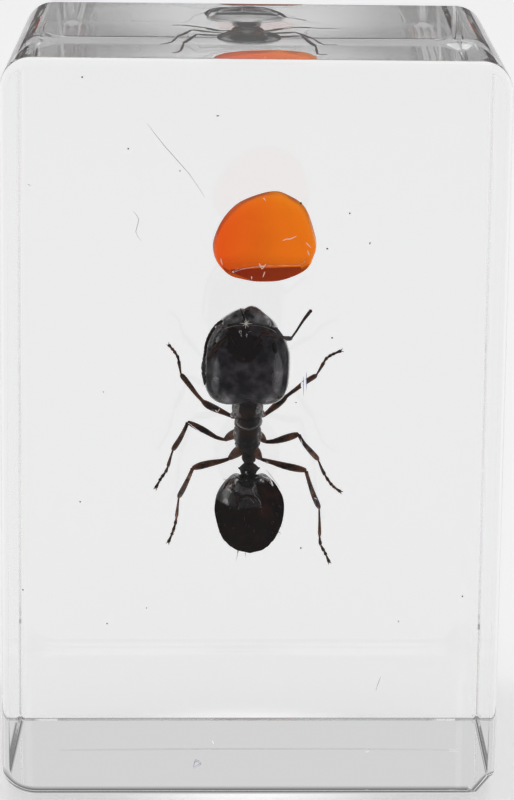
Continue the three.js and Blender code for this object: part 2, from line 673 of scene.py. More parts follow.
def cuticle_group():
    """Colour, film, roughness and relief of insect shell, from a place on it."""
    tree = bpy.data.node_groups.new("insect_shell", "ShaderNodeTree")
    for name, kind in (
        ("Vector", "Vector"), ("Deep", "Color"), ("Warm", "Color"), ("Film", "Float"),
        ("Mottle", "Float"), ("Grain Scale", "Float"), ("Gloss Wet", "Float"),
        ("Gloss Film", "Float"), ("Soaked", "Float"),
    ):
        add_socket(tree, name, kind, "INPUT")
    add_socket(tree, "Color", "Color", "OUTPUT")
    for name in ("Film", "Roughness", "Height"):
        add_socket(tree, name, "Float", "OUTPUT")
    given = add_node(tree, "NodeGroupInput")
    result = add_node(tree, "NodeGroupOutput")
    patches = add_node(tree, "ShaderNodeTexNoise", Scale=1400.0, Detail=3.0)
    blotches = add_node(tree, "ShaderNodeTexNoise", Scale=3200.0, Detail=5.0, Roughness=0.65)
    grain = add_node(tree, "ShaderNodeTexNoise", Detail=3.0)
    pits = add_node(tree, "ShaderNodeTexVoronoi")
    patch_edge = add_node(tree, "ShaderNodeMapRange", From_Min=0.40, From_Max=0.72)
    colour = add_node(tree, "ShaderNodeMix", data_type="RGBA")
    soaked = add_node(tree, "ShaderNodeMix", data_type="RGBA")
    soaked.inputs["B"].default_value = SOAKED_COLOUR
    centred = add_node(tree, "ShaderNodeMath", operation="SUBTRACT")
    centred.inputs[1].default_value = 0.5
    mottled = add_node(tree, "ShaderNodeMath", operation="MULTIPLY_ADD")
    mottled.inputs[2].default_value = 1.0
    share = add_node(tree, "ShaderNodeMath", operation="MULTIPLY", use_clamp=True)
    film_edge = add_node(tree, "ShaderNodeMapRange", From_Min=0.02, From_Max=0.12)
    gloss = add_node(tree, "ShaderNodeMix", data_type="FLOAT")
    relief = add_node(tree, "ShaderNodeMath", operation="MULTIPLY_ADD")
    relief.inputs[1].default_value = 0.5
    join(
        tree,
        (given, "Vector", patches, "Vector"),
        (given, "Vector", blotches, "Vector"),
        (given, "Vector", grain, "Vector"),
        (given, "Vector", pits, "Vector"),
        (given, "Grain Scale", grain, "Scale"),
        (given, "Grain Scale", pits, "Scale"),
        (patches, "Fac", patch_edge, "Value"),
        (patch_edge, 0, colour, "Factor"),
        (given, "Deep", colour, "A"),
        (given, "Warm", colour, "B"),
        (blotches, "Fac", centred, 0),
        (centred, 0, mottled, 0),
        (given, "Mottle", mottled, 1),
        (mottled, 0, share, 0),
        (given, "Film", share, 1),
        (share, 0, film_edge, "Value"),
        (film_edge, 0, gloss, 0),
        (given, "Gloss Wet", gloss, 2),
        (given, "Gloss Film", gloss, 3),
        (pits, "Distance", relief, 0),
        (grain, "Fac", relief, 2),
        (colour, "Result", soaked, "A"),
        (given, "Soaked", soaked, "Factor"),
        (soaked, "Result", result, "Color"),
        (share, 0, result, "Film"),
        (gloss, 0, result, "Roughness"),
        (relief, 0, result, "Height"),
    )
    return tree


insect_shell = cuticle_group()
print("node group:", insect_shell.name, "with", len(insect_shell.nodes), "nodes")

# %% [markdown]
# Each part of the ant has its own shell material from that group: two colours, how much the film
# is mottled, and how fine and how deep its grain is. The shares of colour and of silver are added,
# and the share of silver in the sum is the metallic value. So the silver part mirrors its
# surroundings, and the rest is plain dark shell. A Fresnel node can't be read inside a group when
# the model is exported, so it stands in the material itself.

# %% Cuticle material
def cuticle(
    name, deep, warm, mottle, grain_scale, relief, gloss_wet=0.5, gloss_film=0.3, film=None,
):
    """An insect shell. film is a fixed amount, or None where the piece has it painted on."""
    material, tree, shader = new_material(name, Specular_IOR_Level=0.0)
    centre = pattern_place(tree, BLOCK_MIDDLE)
    shell = add_node(tree, "ShaderNodeGroup", node_tree=insect_shell)
    values = {
        "Deep": (*deep, 1), "Warm": (*warm, 1), "Mottle": mottle, "Grain Scale": grain_scale,
        "Gloss Wet": gloss_wet, "Gloss Film": gloss_film,
    }
    for socket, value in values.items():
        shell.inputs[socket].default_value = value
    if film is None:
        painted = add_node(tree, "ShaderNodeAttribute", attribute_name="air_film")
        soaked = add_node(tree, "ShaderNodeAttribute", attribute_name="soaked")
        join(
            tree,
            (painted, "Fac", shell, "Film"),
            (soaked, "Fac", shell, "Soaked"),
        )
    else:
        shell.inputs["Film"].default_value = film
    bump = add_node(tree, "ShaderNodeBump", Strength=relief, Distance=0.00003)
    thrown_back = add_node(tree, "ShaderNodeFresnel", IOR=AIR_IN_RESIN)
    silver = add_node(tree, "ShaderNodeMath", operation="MULTIPLY")
    both = add_node(tree, "ShaderNodeMath", operation="ADD")
    both.inputs[1].default_value = sum(deep) / 3 + LEAST_SHELL
    share = add_node(tree, "ShaderNodeMath", operation="DIVIDE")
    silver_colour = add_node(tree, "ShaderNodeCombineColor")
    total = add_node(tree, "ShaderNodeMix", data_type="RGBA", blend_type="ADD")
    total.inputs["Factor"].default_value = 1.0
    join(
        tree,
        (centre, "Vector", shell, "Vector"),
        (shell, "Height", bump, "Height"),
        (bump, "Normal", shader, "Normal"),
        (bump, "Normal", thrown_back, "Normal"),
        (shell, "Film", silver, 0),
        (thrown_back, "Fac", silver, 1),
        (silver, 0, both, 0),
        (silver, 0, share, 0),
        (both, 0, share, 1),
        (share, 0, shader, "Metallic"),
        *((silver, 0, silver_colour, channel) for channel in range(3)),
        (shell, "Color", total, "A"),
        (silver_colour, 0, total, "B"),
        (total, "Result", shader, "Base Color"),
        (shell, "Roughness", shader, "Roughness"),
    )
    return material


print("shells are made from the group:", insect_shell.name)

# %% [markdown]
# The head is a dull black, the hind body a deeper and smoother one, and the limbs are a warm
# brown. Where a shell has no film given, its amount of air is painted on the piece later.

# %% Shells of head, body and limbs
head_shell = cuticle(
    "head_shell", (0.016, 0.014, 0.018), (0.078, 0.069, 0.080),
    mottle=1.6, grain_scale=9000.0, relief=0.3, gloss_wet=0.6, gloss_film=0.22,
)
body_shell = cuticle(
    "body_shell", (0.022, 0.019, 0.021), (0.055, 0.032, 0.027),
    mottle=3.5, grain_scale=8000.0, relief=0.6, gloss_wet=0.55, gloss_film=0.2,
)
gaster_shell = cuticle(
    "gaster_shell", (0.008, 0.006, 0.007), (0.050, 0.015, 0.011),
    mottle=0.8, grain_scale=9000.0, relief=0.08, gloss_film=0.06,
)
limb_shell = cuticle(
    "limb_shell", (0.032, 0.014, 0.012), (0.19, 0.075, 0.038),
    mottle=6.0, grain_scale=12000.0, relief=0.5, gloss_wet=0.45, film=0.04,
)
# The jaws' pale grey patches are painted sheen: a light colour in place of the silvery shine on them.
mandible_shell_and_painted_sheen = cuticle(
    "mandible_shell_and_painted_sheen", (0.022, 0.020, 0.023), (0.33, 0.325, 0.335),
    mottle=5.0, grain_scale=9000.0, relief=0.9, gloss_film=0.35,
)
feeler_shell = cuticle(
    "feeler_shell", (0.022, 0.011, 0.009), (0.055, 0.022, 0.015),
    mottle=3.0, grain_scale=12000.0, relief=0.3, gloss_wet=0.45, film=0.018,
)
hip_shell = cuticle(
    "hip_shell", (0.075, 0.030, 0.017), (0.19, 0.072, 0.036),
    mottle=4.0, grain_scale=9000.0, relief=0.5, gloss_wet=0.45, film=0.04,
)
print("shell materials:", [material.name for material in bpy.data.materials if "shell" in material.name])

# %% [markdown]
# ## Head
# A major worker's head is a big box with round cheeks, hollowed a little at the back where the
# neck joins, and with a fine furrow down its face. It is one loft from the back of the head to
# the edge of the face plate. The hollow and the furrow are small moves of its points, which
# keeps them shallow and soft. Underneath, the head is flat: past a certain depth, each point is
# drawn back towards one level.

# %% Head shape
HEAD_STATIONS = [
    (-0.10, 10.89, 22.24, 0.95, 0.64),
    (-0.14, 11.00, 22.38, 1.68, 1.17),
    (-0.15, 11.02, 22.65, 2.10, 1.52),
    (-0.17, 11.03, 22.95, 2.30, 1.80),
    (-0.18, 11.03, 23.40, 2.46, 2.03),
    (-0.16, 11.07, 24.10, 2.53, 2.22),
    (-0.14, 11.04, 24.85, 2.54, 2.29),
    (-0.13, 10.97, 25.40, 2.51, 2.22),
    (-0.15, 10.87, 25.80, 2.44, 2.10),
    (-0.18, 10.75, 26.25, 2.29, 1.88),
    (-0.22, 10.60, 26.60, 2.11, 1.63),
    (-0.23, 10.48, 26.95, 1.86, 1.33),
    (-0.25, 10.36, 27.22, 1.54, 0.99),
    (-0.25, 10.24, 27.38, 1.10, 0.57),
]
UNDERSIDE_START = 11.2  # depth where the round cheeks turn into the flat underside
UNDERSIDE_ROOM = 0.7
NAPE_HOLLOW = 0.30
NAPE_TOP = 23.1
NAPE_HALF = 0.7
FACE_FURROW = 0.05
FURROW_TOP = 25.4
FURROW_HALF = 0.09
HEAD_MIDDLE = -0.12  # x of the furrow


def bell(x, half):
    """1 in the middle, falling off smoothly to both sides."""
    return math.exp(-((x / half) ** 2))


def shape_head(bm):
    """Hollows the nape, cuts the furrow and flattens the underside."""
    bm.normal_update()
    for vert in bm.verts:
        off_middle = vert.co.x - HEAD_MIDDLE
        nape = ease(NAPE_TOP - vert.co.z, 0.0, 0.7)
        vert.co.z += NAPE_HOLLOW * bell(off_middle, NAPE_HALF) * nape
        facing = max(-vert.normal.y, 0.0)
        lower_face = ease(FURROW_TOP - vert.co.z, 0.0, 1.0)
        vert.co.y += FACE_FURROW * bell(off_middle, FURROW_HALF) * facing * lower_face
        past = vert.co.y - FRONT - UNDERSIDE_START
        if past > 0:
            vert.co.y -= past - UNDERSIDE_ROOM * (1 - math.exp(-past / UNDERSIDE_ROOM))


bm = bmesh.new()
loft(bm, HEAD_STATIONS, 112, steps=6, upright=True)
shape_head(bm)
bm.normal_update()
head_surface = BVHTree.FromBMesh(bm)
head = settle("ant_head", bm, head_shell)

# %% [markdown]
# Two numbers are painted on the head. The heart-shaped shield between the feelers is soaked with
# resin and dead black. Elsewhere thin air lies in blotches, with a long bright lens on each
# cheek, and it is thickest at the edges and underneath, where the resin shrank most. The places
# are heights and widths in millimetres; painting them by hand with a brush could not be repeated.

# %% Film on the head
SHIELD_MIDDLE = -0.3
SHIELD_FOOT = 25.0
SHIELD_TOP = 26.75
SHIELD_SOFT = 0.06
SHIELD_BACK = 10.7  # depth where the shield ends
CHEEK_MIDDLE_HEIGHT = 24.35
CHEEK_HALF_HEIGHT = 1.45
CHEEKS = ((-2.02, 0.30), (1.60, 0.34))  # x and half width of each bright lens
CHEEK_FILM = 0.068
TEMPLE_FILM = 0.09
CORNER_FILM = 0.20
BLOTCH_SCALE = 2.6
LEAST_FILM = 0.012
BLOTCH_FILM = 0.03


def face_shield(x, depth, z):
    """The resin-soaked shield on the face: a heart shape, wide above and pointed below."""
    shield_half = 0.25 + 0.80 * ease(z, SHIELD_FOOT, SHIELD_FOOT + 0.95)
    wobble = 0.06 * math.sin(z * 9.0) + 0.04 * math.sin(z * 23.0 + x * 5.0)
    over_foot = ease(z, SHIELD_FOOT + 0.05, SHIELD_FOOT + 0.25)
    under_top = 1 - ease(z + 0.4 * x, SHIELD_TOP, SHIELD_TOP + 0.2)
    across = ease(shield_half + wobble - abs(x - SHIELD_MIDDLE), -SHIELD_SOFT, SHIELD_SOFT)
    return across * over_foot * under_top * (depth < SHIELD_BACK)


def head_film(x, depth, z, normal):
    """Air under the cheeks, the temple and the underside, none on the face shield."""
    lens = max(1 - ((z - CHEEK_MIDDLE_HEIGHT) / CHEEK_HALF_HEIGHT) ** 2, 0.0)
    blotch = ease(noise.noise(Vector((x, depth, z)) * BLOTCH_SCALE), 0.0, 0.4)
    shine = max(band(x, middle, half * lens, 0.06) for middle, half in CHEEKS)
    cheek = CHEEK_FILM * shine * ease(lens, 0.0, 0.3)
    temple = TEMPLE_FILM * ease(-x, 1.1, 1.4) * ease(z, 25.75, 26.1)
    lower_corner = CORNER_FILM * (1 - ease(z, 22.5, 23.3)) * ease(abs(x + 0.13), 0.6, 1.5)
    edge = ease(normal.y, -0.40, -0.08) * (1 - ease(z, 26.1, 26.6))
    underside = ease(depth, 10.7, 11.3)
    front = LEAST_FILM + BLOTCH_FILM * blotch + cheek + temple + lower_corner
    return max(front, edge, underside) * (1 - face_shield(x, depth, z))


paint(head, head_film)
paint(head, lambda x, depth, z, normal: face_shield(x, depth, z), "soaked")


# %% [markdown]
# ## Mandibles and face plate
# The jaws are closed: two thick curved plates that meet in a slit a little left of the middle,
# the right one lying over the tip. Each is a loft from its hinge at the cheek to its tip, and is
# drawn out behind to a thick flat back. A little noise takes off the look of a turned part.

# %% Mandibles
LEFT_MANDIBLE = [
    (-1.28, 10.45, 26.75, 0.70, 0.42),
    (-1.05, 10.35, 27.10, 0.84, 0.50),
    (-0.92, 10.22, 27.45, 0.74, 0.52),
    (-0.76, 10.08, 27.75, 0.56, 0.44),
    (-0.60, 10.00, 28.00, 0.38, 0.32),
    (-0.48, 9.98, 28.17, 0.22, 0.20),
]
RIGHT_MANDIBLE = [
    (0.80, 10.45, 26.75, 0.90, 0.42),
    (0.66, 10.33, 27.10, 0.90, 0.52),
    (0.49, 10.15, 27.45, 0.82, 0.56),
    (0.31, 9.98, 27.75, 0.74, 0.50),
    (0.17, 9.90, 28.00, 0.63, 0.40),
    (0.10, 9.90, 28.20, 0.46, 0.28),
    (0.08, 9.92, 28.36, 0.22, 0.14),
]


MANDIBLE_LEAST_FILM = 0.02
MANDIBLE_PATCH_FILM = 0.32
MANDIBLE_EDGE_FILM = 0.4


def mandible_film(x, depth, z, normal):
    """Air in ragged patches in front, at the edges, and all over the back."""
    place = Vector((x, depth, z))
    ragged = noise.noise(place * 3.6) + 0.5 * noise.noise(place * 9.0)
    patches = MANDIBLE_LEAST_FILM + MANDIBLE_PATCH_FILM * ease(ragged, 0.0, 0.4)
    edge = MANDIBLE_EDGE_FILM * ease(normal.y, -0.45, -0.1)
    return max(patches, edge, ease(depth, 10.1, 10.4))


MANDIBLE_BACK_START = 10.1  # from this depth on, the jaw is drawn out to a thick flat back
MANDIBLE_BACK_ROOM = 1.3
MANDIBLE_BACK_SWELL = 6.0
TOOTH_LENGTH = 0.12
TOOTH_HALF = 0.07


NOISE_SEED = 7
noise.seed_set(NOISE_SEED)  # fixed, so that the bumps are the same on every run


def roughen(bm, scale, reach):
    """Moves every point a little by a noise, so that no surface looks turned on a lathe."""
    for vert in bm.verts:
        vert.co += noise.noise_vector(vert.co * scale) * reach


def mandible(name, stations, inner):
    """One jaw with its row of blunt teeth along the inner edge."""
    bm = bmesh.new()
    loft(bm, stations, 56, steps=5, upright=True)
    for x, depth, z, half_width, _ in between(stations[2:5], 2):
        root = spot(x + inner * half_width * 0.85, depth - 0.05, z)
        spine(bm, root, Vector((inner, -0.1, 0.2)), TOOTH_LENGTH, TOOTH_HALF, bend=0.0)
    for vert in bm.verts:
        past = vert.co.y - FRONT - MANDIBLE_BACK_START
        if past > 0:
            swollen = past * MANDIBLE_BACK_SWELL / MANDIBLE_BACK_ROOM
            vert.co.y += MANDIBLE_BACK_ROOM * (1 - math.exp(-swollen)) - past
    roughen(bm, 3.0, 0.02)
    piece = settle(name, bm, mandible_shell_and_painted_sheen)
    paint(piece, mandible_film)
    return piece


mandible("ant_mandible_left", LEFT_MANDIBLE, 1)
mandible("ant_mandible_right", RIGHT_MANDIBLE, -1)

# %% [markdown]
# ## Rim, ridges and eyes
# Where the jaws meet the face plate, a thin pale rim shows. Two dark ridges run down beside the
# feelers' sockets, and the jaws meet in a dark slit. All are round beads that lie on the face:
# a ray from the front finds the surface, so each bead follows it without a gap.

# %% Shells of rims, ridges and eyes
rim_shell = cuticle(
    "pale_rim_shell", (0.12, 0.11, 0.10), (0.36, 0.34, 0.31),
    mottle=2.5, grain_scale=15000.0, relief=0.4, film=0.25,
)
# Grey shell for the back shield's rim, and for the painted highlights on the gaster.
rim_and_highlight_shell = cuticle(
    "grey_rim_and_painted_highlight_shell", (0.07, 0.065, 0.066), (0.20, 0.19, 0.19),
    mottle=2.5, grain_scale=15000.0, relief=0.4, film=0.25,
)
palp_shell = cuticle(
    "palp_shell", (0.015, 0.015, 0.018), (0.10, 0.10, 0.11),
    mottle=8.0, grain_scale=12000.0, relief=0.6, film=0.10,
)
wet_shell = cuticle(
    "wet_shell", (0.010, 0.007, 0.007), (0.028, 0.010, 0.009),
    mottle=2.0, grain_scale=9000.0, relief=0.5, film=0.015,
)
eye_shell = cuticle(
    "eye_facets", (0.004, 0.004, 0.005), (0.008, 0.006, 0.006),
    mottle=0.3, grain_scale=22000.0, relief=0.9, gloss_wet=0.3, gloss_film=0.2, film=0.02,
)
print("fine shells:", rim_shell.name, rim_and_highlight_shell.name, palp_shell.name, wet_shell.name, eye_shell.name)

# %% [markdown]
# A bead on a surface starts as a line of points seen from the front. Each point is dropped onto
# the surface, lifted or sunk a little along the way out, and the points are lofted together.

# %% Rim and ridges
RIM_LINE = [
    (-1.82, 26.85), (-1.45, 27.08), (-0.95, 27.24), (-0.35, 27.30),
    (0.3, 27.28), (0.9, 27.16), (1.35, 26.94), (1.58, 26.75),
]
RIDGE_LINES = [
    [(-1.15, 26.72), (-0.98, 26.5), (-0.80, 26.25), (-0.70, 26.0)],
    [(0.62, 26.8), (0.48, 26.5), (0.32, 26.25), (0.2, 26.0)],
]
JAW_SLIT = [(-0.58, 9.62, 28.30), (-0.47, 9.50, 28.05), (-0.37, 9.42, 27.85), (-0.33, 9.38, 27.55)]
SLIT_PROFILE = [(0.0, 0.02), (0.3, 0.035), (0.8, 0.04), (1.0, 0.03)]
RIM_HALF = 0.026
RIDGE_HALF = 0.08
BEAD_END = 0.35  # a bead's size at its two ends, as a share


def on_front(surface, x, z):
    """The point of a surface straight behind (x, z) and the way out of it."""
    place, out, _, _ = surface.ray_cast(Vector((x, FRONT, z)), Vector((0, 1, 0)))
    return place, out


def bead(bm, surface, line, half, lift, sides=8):
    """A round bead lying on a surface along a line of (x, z) points, tapered at both ends."""
    stations = []
    for i, (x, z) in enumerate(line):
        place, out = on_front(surface, x, z)
        place += out * lift
        size = half * (BEAD_END if i in (0, len(line) - 1) else 1.0)
        stations.append((place.x, place.y - FRONT, place.z, size, size))
    loft(bm, stations, sides, steps=5)


bm = bmesh.new()
bead(bm, head_surface, RIM_LINE, RIM_HALF, 0.010)
settle("ant_face_rim", bm, rim_shell)
bm = bmesh.new()
for line in RIDGE_LINES:
    bead(bm, head_surface, line, RIDGE_HALF, -0.02, sides=12)
limb(bm, JAW_SLIT, SLIT_PROFILE, sides=8)
settle("ant_frontal_ridges", bm, wet_shell)

# %% [markdown]
# An eye is a low dome of many small facets. The facets are too fine to model, so the grain of
# the eye's shell stands for them. A flattened ball does for the dome, since half of it is sunk.

# %% Eyes
EYE_PLACES = [(-2.08, 25.90), (1.46, 25.98)]
EYE_SIZE = (0.21, 0.37, 0.10)
OCELLUS = (-0.37, 25.40)  # the small simple eye in the middle of the brow
OCELLUS_SIZE = (0.08, 0.10, 0.04)


def eye(name, places, size, subdivisions, shell):
    """Low domes that sit on the face at (x, z) places, turned to lie along it."""
    bm = bmesh.new()
    for x, z in places:
        place, out = on_front(head_surface, x, z)
        dome = bmesh.ops.create_icosphere(bm, subdivisions=subdivisions, radius=1.0)["verts"]
        bmesh.ops.scale(bm, vec=size, verts=dome)
        bmesh.ops.rotate(bm, matrix=out.to_track_quat("Z", "Y").to_matrix(), verts=dome)
        bmesh.ops.translate(bm, vec=place, verts=dome)
    settle(name, bm, shell)


eye("ant_eyes", EYE_PLACES, EYE_SIZE, 4, eye_shell)
eye("ant_ocellus", [OCELLUS], OCELLUS_SIZE, 3, feeler_shell)

# %% [markdown]
# ## Antennae
# Each feeler has a long first joint, the scape, then an elbow, and a whip of eleven beads that
# widen to a three-beaded club. A bead is a short limb that is narrow at its root. The left
# feeler is folded up along the cheek and the right one reaches back and up. A lumpy mouth feeler,
# the palp, hangs below the left one.

# %% Antennae
SCAPE_PROFILE = [(0.0, 0.08), (0.04, 0.13), (0.12, 0.11), (0.5, 0.13), (0.9, 0.145), (1.0, 0.09)]
BEADS = 11


def antenna(name, scape, whip, root_half, club_half):
    """A feeler: its long first joint along one route, its beads along another."""
    bm = bmesh.new()
    limb(bm, scape, SCAPE_PROFILE, sides=14)
    cuts = [i / BEADS for i in range(BEADS + 1)]
    for i, part in enumerate(split_route(whip, cuts)):
        half = root_half + (club_half - root_half) * ease(i, 3, BEADS)
        bead_profile = [(0.0, half * 0.8), (0.35, half * 0.95), (0.8, half), (1.0, half * 0.9)]
        limb(bm, part, bead_profile, sides=12)
    return settle(name, bm, feeler_shell)


antenna(
    "ant_antenna_right",
    scape=[
        (0.62, 8.98, 26.92), (1.2, 9.12, 26.80), (1.65, 9.6, 26.6), (2.0, 10.7, 26.32), (2.45, 12.3, 26.05),
    ],
    whip=[
        (2.45, 12.3, 26.05), (2.75, 12.85, 26.38), (3.0, 13.3, 26.7), (3.3, 13.9, 27.05), (3.65, 14.5, 27.4),
    ],
    root_half=0.07, club_half=0.115,
)
antenna(
    "ant_antenna_left",
    scape=[
        (-1.32, 8.95, 26.70), (-1.64, 9.0, 26.48), (-1.93, 9.1, 26.14), (-2.17, 9.3, 25.76),
        (-2.46, 9.6, 25.20),
    ],
    whip=[
        (-2.70, 10.0, 25.10), (-2.62, 9.85, 25.57), (-2.56, 9.8, 26.08), (-2.35, 9.75, 26.67),
        (-1.98, 9.7, 27.24), (-1.62, 9.75, 27.52),
    ],
    root_half=0.095, club_half=0.10,
)

# %% [markdown]
# The palp is one limb whose profile swells three times, roughened by a noise.

# %% Palp
PALP = [(-2.68, 9.7, 25.25), (-2.70, 9.8, 24.70), (-2.70, 9.9, 24.15), (-2.62, 10.0, 23.58)]
PALP_PROFILE = [(0.0, 0.08), (0.15, 0.11), (0.35, 0.14), (0.55, 0.10), (0.75, 0.12), (1.0, 0.02)]
bm = bmesh.new()
limb(bm, PALP, PALP_PROFILE, sides=16)
roughen(bm, 5.0, 0.07)
settle("ant_palp_left", bm, palp_shell)

# %% [markdown]
# ## Middle body and waist
# Behind the head come the shoulder plate, the domed back with its small shield, the side plates
# and the sloping end, then the two knots of the waist. Each is a loft of its own, and they
# overlap as the real plates do, so the seams between them are real steps.

# %% Middle body
NECK = [(-0.1, 11.3, 22.9, 0.35, 0.35), (-0.1, 11.4, 22.55, 0.42, 0.45), (-0.1, 11.5, 22.3, 0.45, 0.5)]
SHOULDER_PLATE = [
    (-0.10, 11.55, 22.66, 0.57, 0.50), (-0.10, 11.60, 22.45, 0.84, 0.82),
    (-0.10, 11.70, 22.10, 0.93, 0.98), (-0.10, 11.75, 21.75, 0.93, 1.08),
    (-0.08, 11.80, 21.45, 0.87, 1.10), (-0.08, 11.85, 21.22, 0.68, 0.95),
]
BACK_DOME = [
    (-0.06, 11.80, 21.52, 0.48, 0.80), (-0.05, 11.66, 21.36, 0.73, 1.08),
    (-0.06, 11.66, 21.12, 0.83, 1.16), (-0.08, 11.70, 20.86, 0.79, 1.12),
    (-0.10, 11.80, 20.66, 0.64, 0.98), (-0.10, 11.90, 20.55, 0.43, 0.75),
]
SIDE_PLATES = [
    (-0.10, 12.00, 20.86, 0.60, 0.85), (-0.10, 12.00, 20.66, 0.78, 0.98),
    (-0.10, 12.00, 20.30, 0.84, 1.00), (-0.10, 12.03, 19.98, 0.82, 0.98),
    (-0.10, 12.08, 19.75, 0.72, 0.90), (-0.10, 12.12, 19.62, 0.55, 0.72),
]
SLOPING_END = [
    (-0.10, 12.10, 19.92, 0.62, 0.78), (-0.10, 12.10, 19.66, 0.77, 0.84),
    (-0.09, 12.12, 19.42, 0.64, 0.76), (-0.06, 12.18, 19.18, 0.42, 0.60),
    (-0.05, 12.22, 18.98, 0.32, 0.45), (-0.04, 12.25, 18.86, 0.22, 0.30),
]
bm = bmesh.new()
loft(bm, NECK, 40, steps=3, upright=True)
for stations in (SHOULDER_PLATE, BACK_DOME, SIDE_PLATES, SLOPING_END):
    loft(bm, stations, 56, steps=5, upright=True)
roughen(bm, 2.3, 0.018)
mesosoma = settle("ant_mesosoma", bm, body_shell)

# %% [markdown]
# The middle of the back is wet and dark, and air is kept on the shoulders and along the flanks.
# The small shield on the back is edged by a fine grey rim, swollen at its two front ends.

# %% Film and shield rim on the middle body
BACK_SHIELD_LINE = [
    (-0.70, 11.02, 21.36), (-0.68, 10.96, 21.14), (-0.52, 10.80, 20.97), (-0.28, 10.62, 20.84),
    (-0.03, 10.57, 20.79), (0.20, 10.62, 20.84), (0.40, 10.78, 20.95), (0.55, 10.94, 21.13),
    (0.58, 11.0, 21.34),
]
BACK_SHIELD_PROFILE = [
    (0.0, 0.03), (0.12, 0.11), (0.28, 0.07), (0.5, 0.03), (0.72, 0.06), (0.88, 0.09), (1.0, 0.03),
]
BODY_LEAST_FILM = 0.02
BODY_FILM = 0.10
BODY_EDGE_FILM = 0.20


def mesosoma_film(x, depth, z, normal):
    """Shoulders and flanks hold a little air; the middle of the back is wet."""
    off_middle = abs(x + 0.08)
    shoulder = BODY_FILM * ease(z, 21.2, 22.0) * ease(off_middle, 0.1, 0.5)
    flank = BODY_FILM * ease(off_middle, 0.45, 0.75)
    edge = BODY_EDGE_FILM * ease(normal.y, -0.35, -0.02) * ease(z, 20.9, 21.6)
    under = BODY_EDGE_FILM * ease(depth, 12.2, 12.8)
    return max(BODY_LEAST_FILM + shoulder, BODY_LEAST_FILM + flank, edge, under)


paint(mesosoma, mesosoma_film)
bm = bmesh.new()
limb(bm, BACK_SHIELD_LINE, BACK_SHIELD_PROFILE, sides=10)
settle("ant_back_shield_rim", bm, rim_and_highlight_shell)

# %% [markdown]
# The waist has two knots. The first is narrow, and the second is wide with a small horn on each
# side, which is a short limb that ends in a point.

# %% Waist
PETIOLE = [
    (-0.05, 12.25, 19.02, 0.28, 0.32), (-0.05, 12.15, 18.88, 0.38, 0.44),
    (-0.02, 11.98, 18.72, 0.41, 0.60), (0.00, 12.02, 18.58, 0.37, 0.54),
    (-0.02, 12.15, 18.46, 0.29, 0.38), (-0.03, 12.18, 18.36, 0.25, 0.30),
]
POSTPETIOLE = [
    (-0.02, 12.18, 18.44, 0.26, 0.32), (-0.01, 12.04, 18.32, 0.44, 0.50),
    (0.00, 11.95, 18.16, 0.58, 0.60), (-0.02, 11.98, 17.98, 0.52, 0.58),
    (-0.04, 11.95, 17.78, 0.44, 0.48), (-0.05, 11.85, 17.60, 0.38, 0.40),
    (-0.05, 11.75, 17.45, 0.30, 0.34),
]
HORN_PROFILE = [(0.0, 0.22), (0.5, 0.12), (1.0, 0.02)]
bm = bmesh.new()
loft(bm, PETIOLE, 40, steps=5, upright=True)
petiole = settle("ant_petiole", bm, body_shell)
bm = bmesh.new()
loft(bm, POSTPETIOLE, 48, steps=5, upright=True)
for side in (-1, 1):
    horn = [(side * 0.30, 11.95, 18.05), (side * 0.52, 11.92, 18.13), (side * 0.66, 11.9, 18.19)]
    limb(bm, horn, HORN_PROFILE, sides=12)
postpetiole = settle("ant_postpetiole", bm, body_shell)


def waist_film(x, depth, z, normal):
    """Hardly any air on top, a little underneath."""
    return 0.03 + 0.15 * ease(depth, 12.1, 12.6)


for piece in (petiole, postpetiole):
    paint(piece, waist_film)

# %% [markdown]
# ## Gaster
# The hind body is a smooth black egg made of overlapping rings. The first ring covers most of
# it; the edges of the last three show only as fine steps near the tip. Two low humps stand at
# its front shoulders, each side of the waist.

# %% Gaster shape
GASTER_STATIONS = [
    (0.00, 11.53, 17.72, 0.62, 0.50),
    (0.00, 11.59, 17.62, 1.12, 1.02),
    (0.00, 11.60, 17.42, 1.42, 1.34),
    (0.00, 11.60, 17.20, 1.60, 1.58),
    (0.00, 11.60, 16.90, 1.78, 1.80),
    (0.02, 11.61, 16.50, 1.97, 1.99),
    (0.03, 11.61, 16.05, 2.06, 2.10),
    (0.02, 11.61, 15.60, 2.08, 2.11),
    (0.03, 11.62, 15.15, 2.02, 2.06),
    (0.03, 11.62, 14.75, 1.93, 1.94),
    (0.01, 11.64, 14.35, 1.80, 1.78),
    (0.00, 11.63, 13.95, 1.66, 1.51),
    (0.00, 11.62, 13.60, 1.43, 1.22),
    (0.02, 11.61, 13.28, 1.16, 0.89),
    (0.04, 11.59, 13.05, 0.84, 0.58),
    (0.05, 11.57, 12.96, 0.52, 0.36),
]
RING_EDGES = (14.1, 13.62, 13.3)
RING_STEP = 0.032
SHOULDER_HUMP = 0.16
HUMP_PLACE = 0.85
HUMP_HALF = 0.38


def shape_gaster(bm):
    """Steps in at each ring's edge, and raises the two shoulder humps."""
    bm.normal_update()
    for vert in bm.verts:
        x, _, z = vert.co
        for edge in RING_EDGES:
            height_here = z - edge + 0.10 * math.cos(x * 1.6)
            if height_here < 0:
                vert.co -= vert.normal * RING_STEP * ease(-height_here, 0.0, 0.05)
        shoulders = bell(abs(x) - HUMP_PLACE, HUMP_HALF) * ease(z, 17.2, 17.7)
        vert.co.z += SHOULDER_HUMP * shoulders


bm = bmesh.new()
loft(bm, GASTER_STATIONS, 104, steps=7, upright=True)
shape_gaster(bm)
bm.normal_update()
gaster_surface = BVHTree.FromBMesh(bm)
gaster = settle("ant_gaster", bm, gaster_shell)
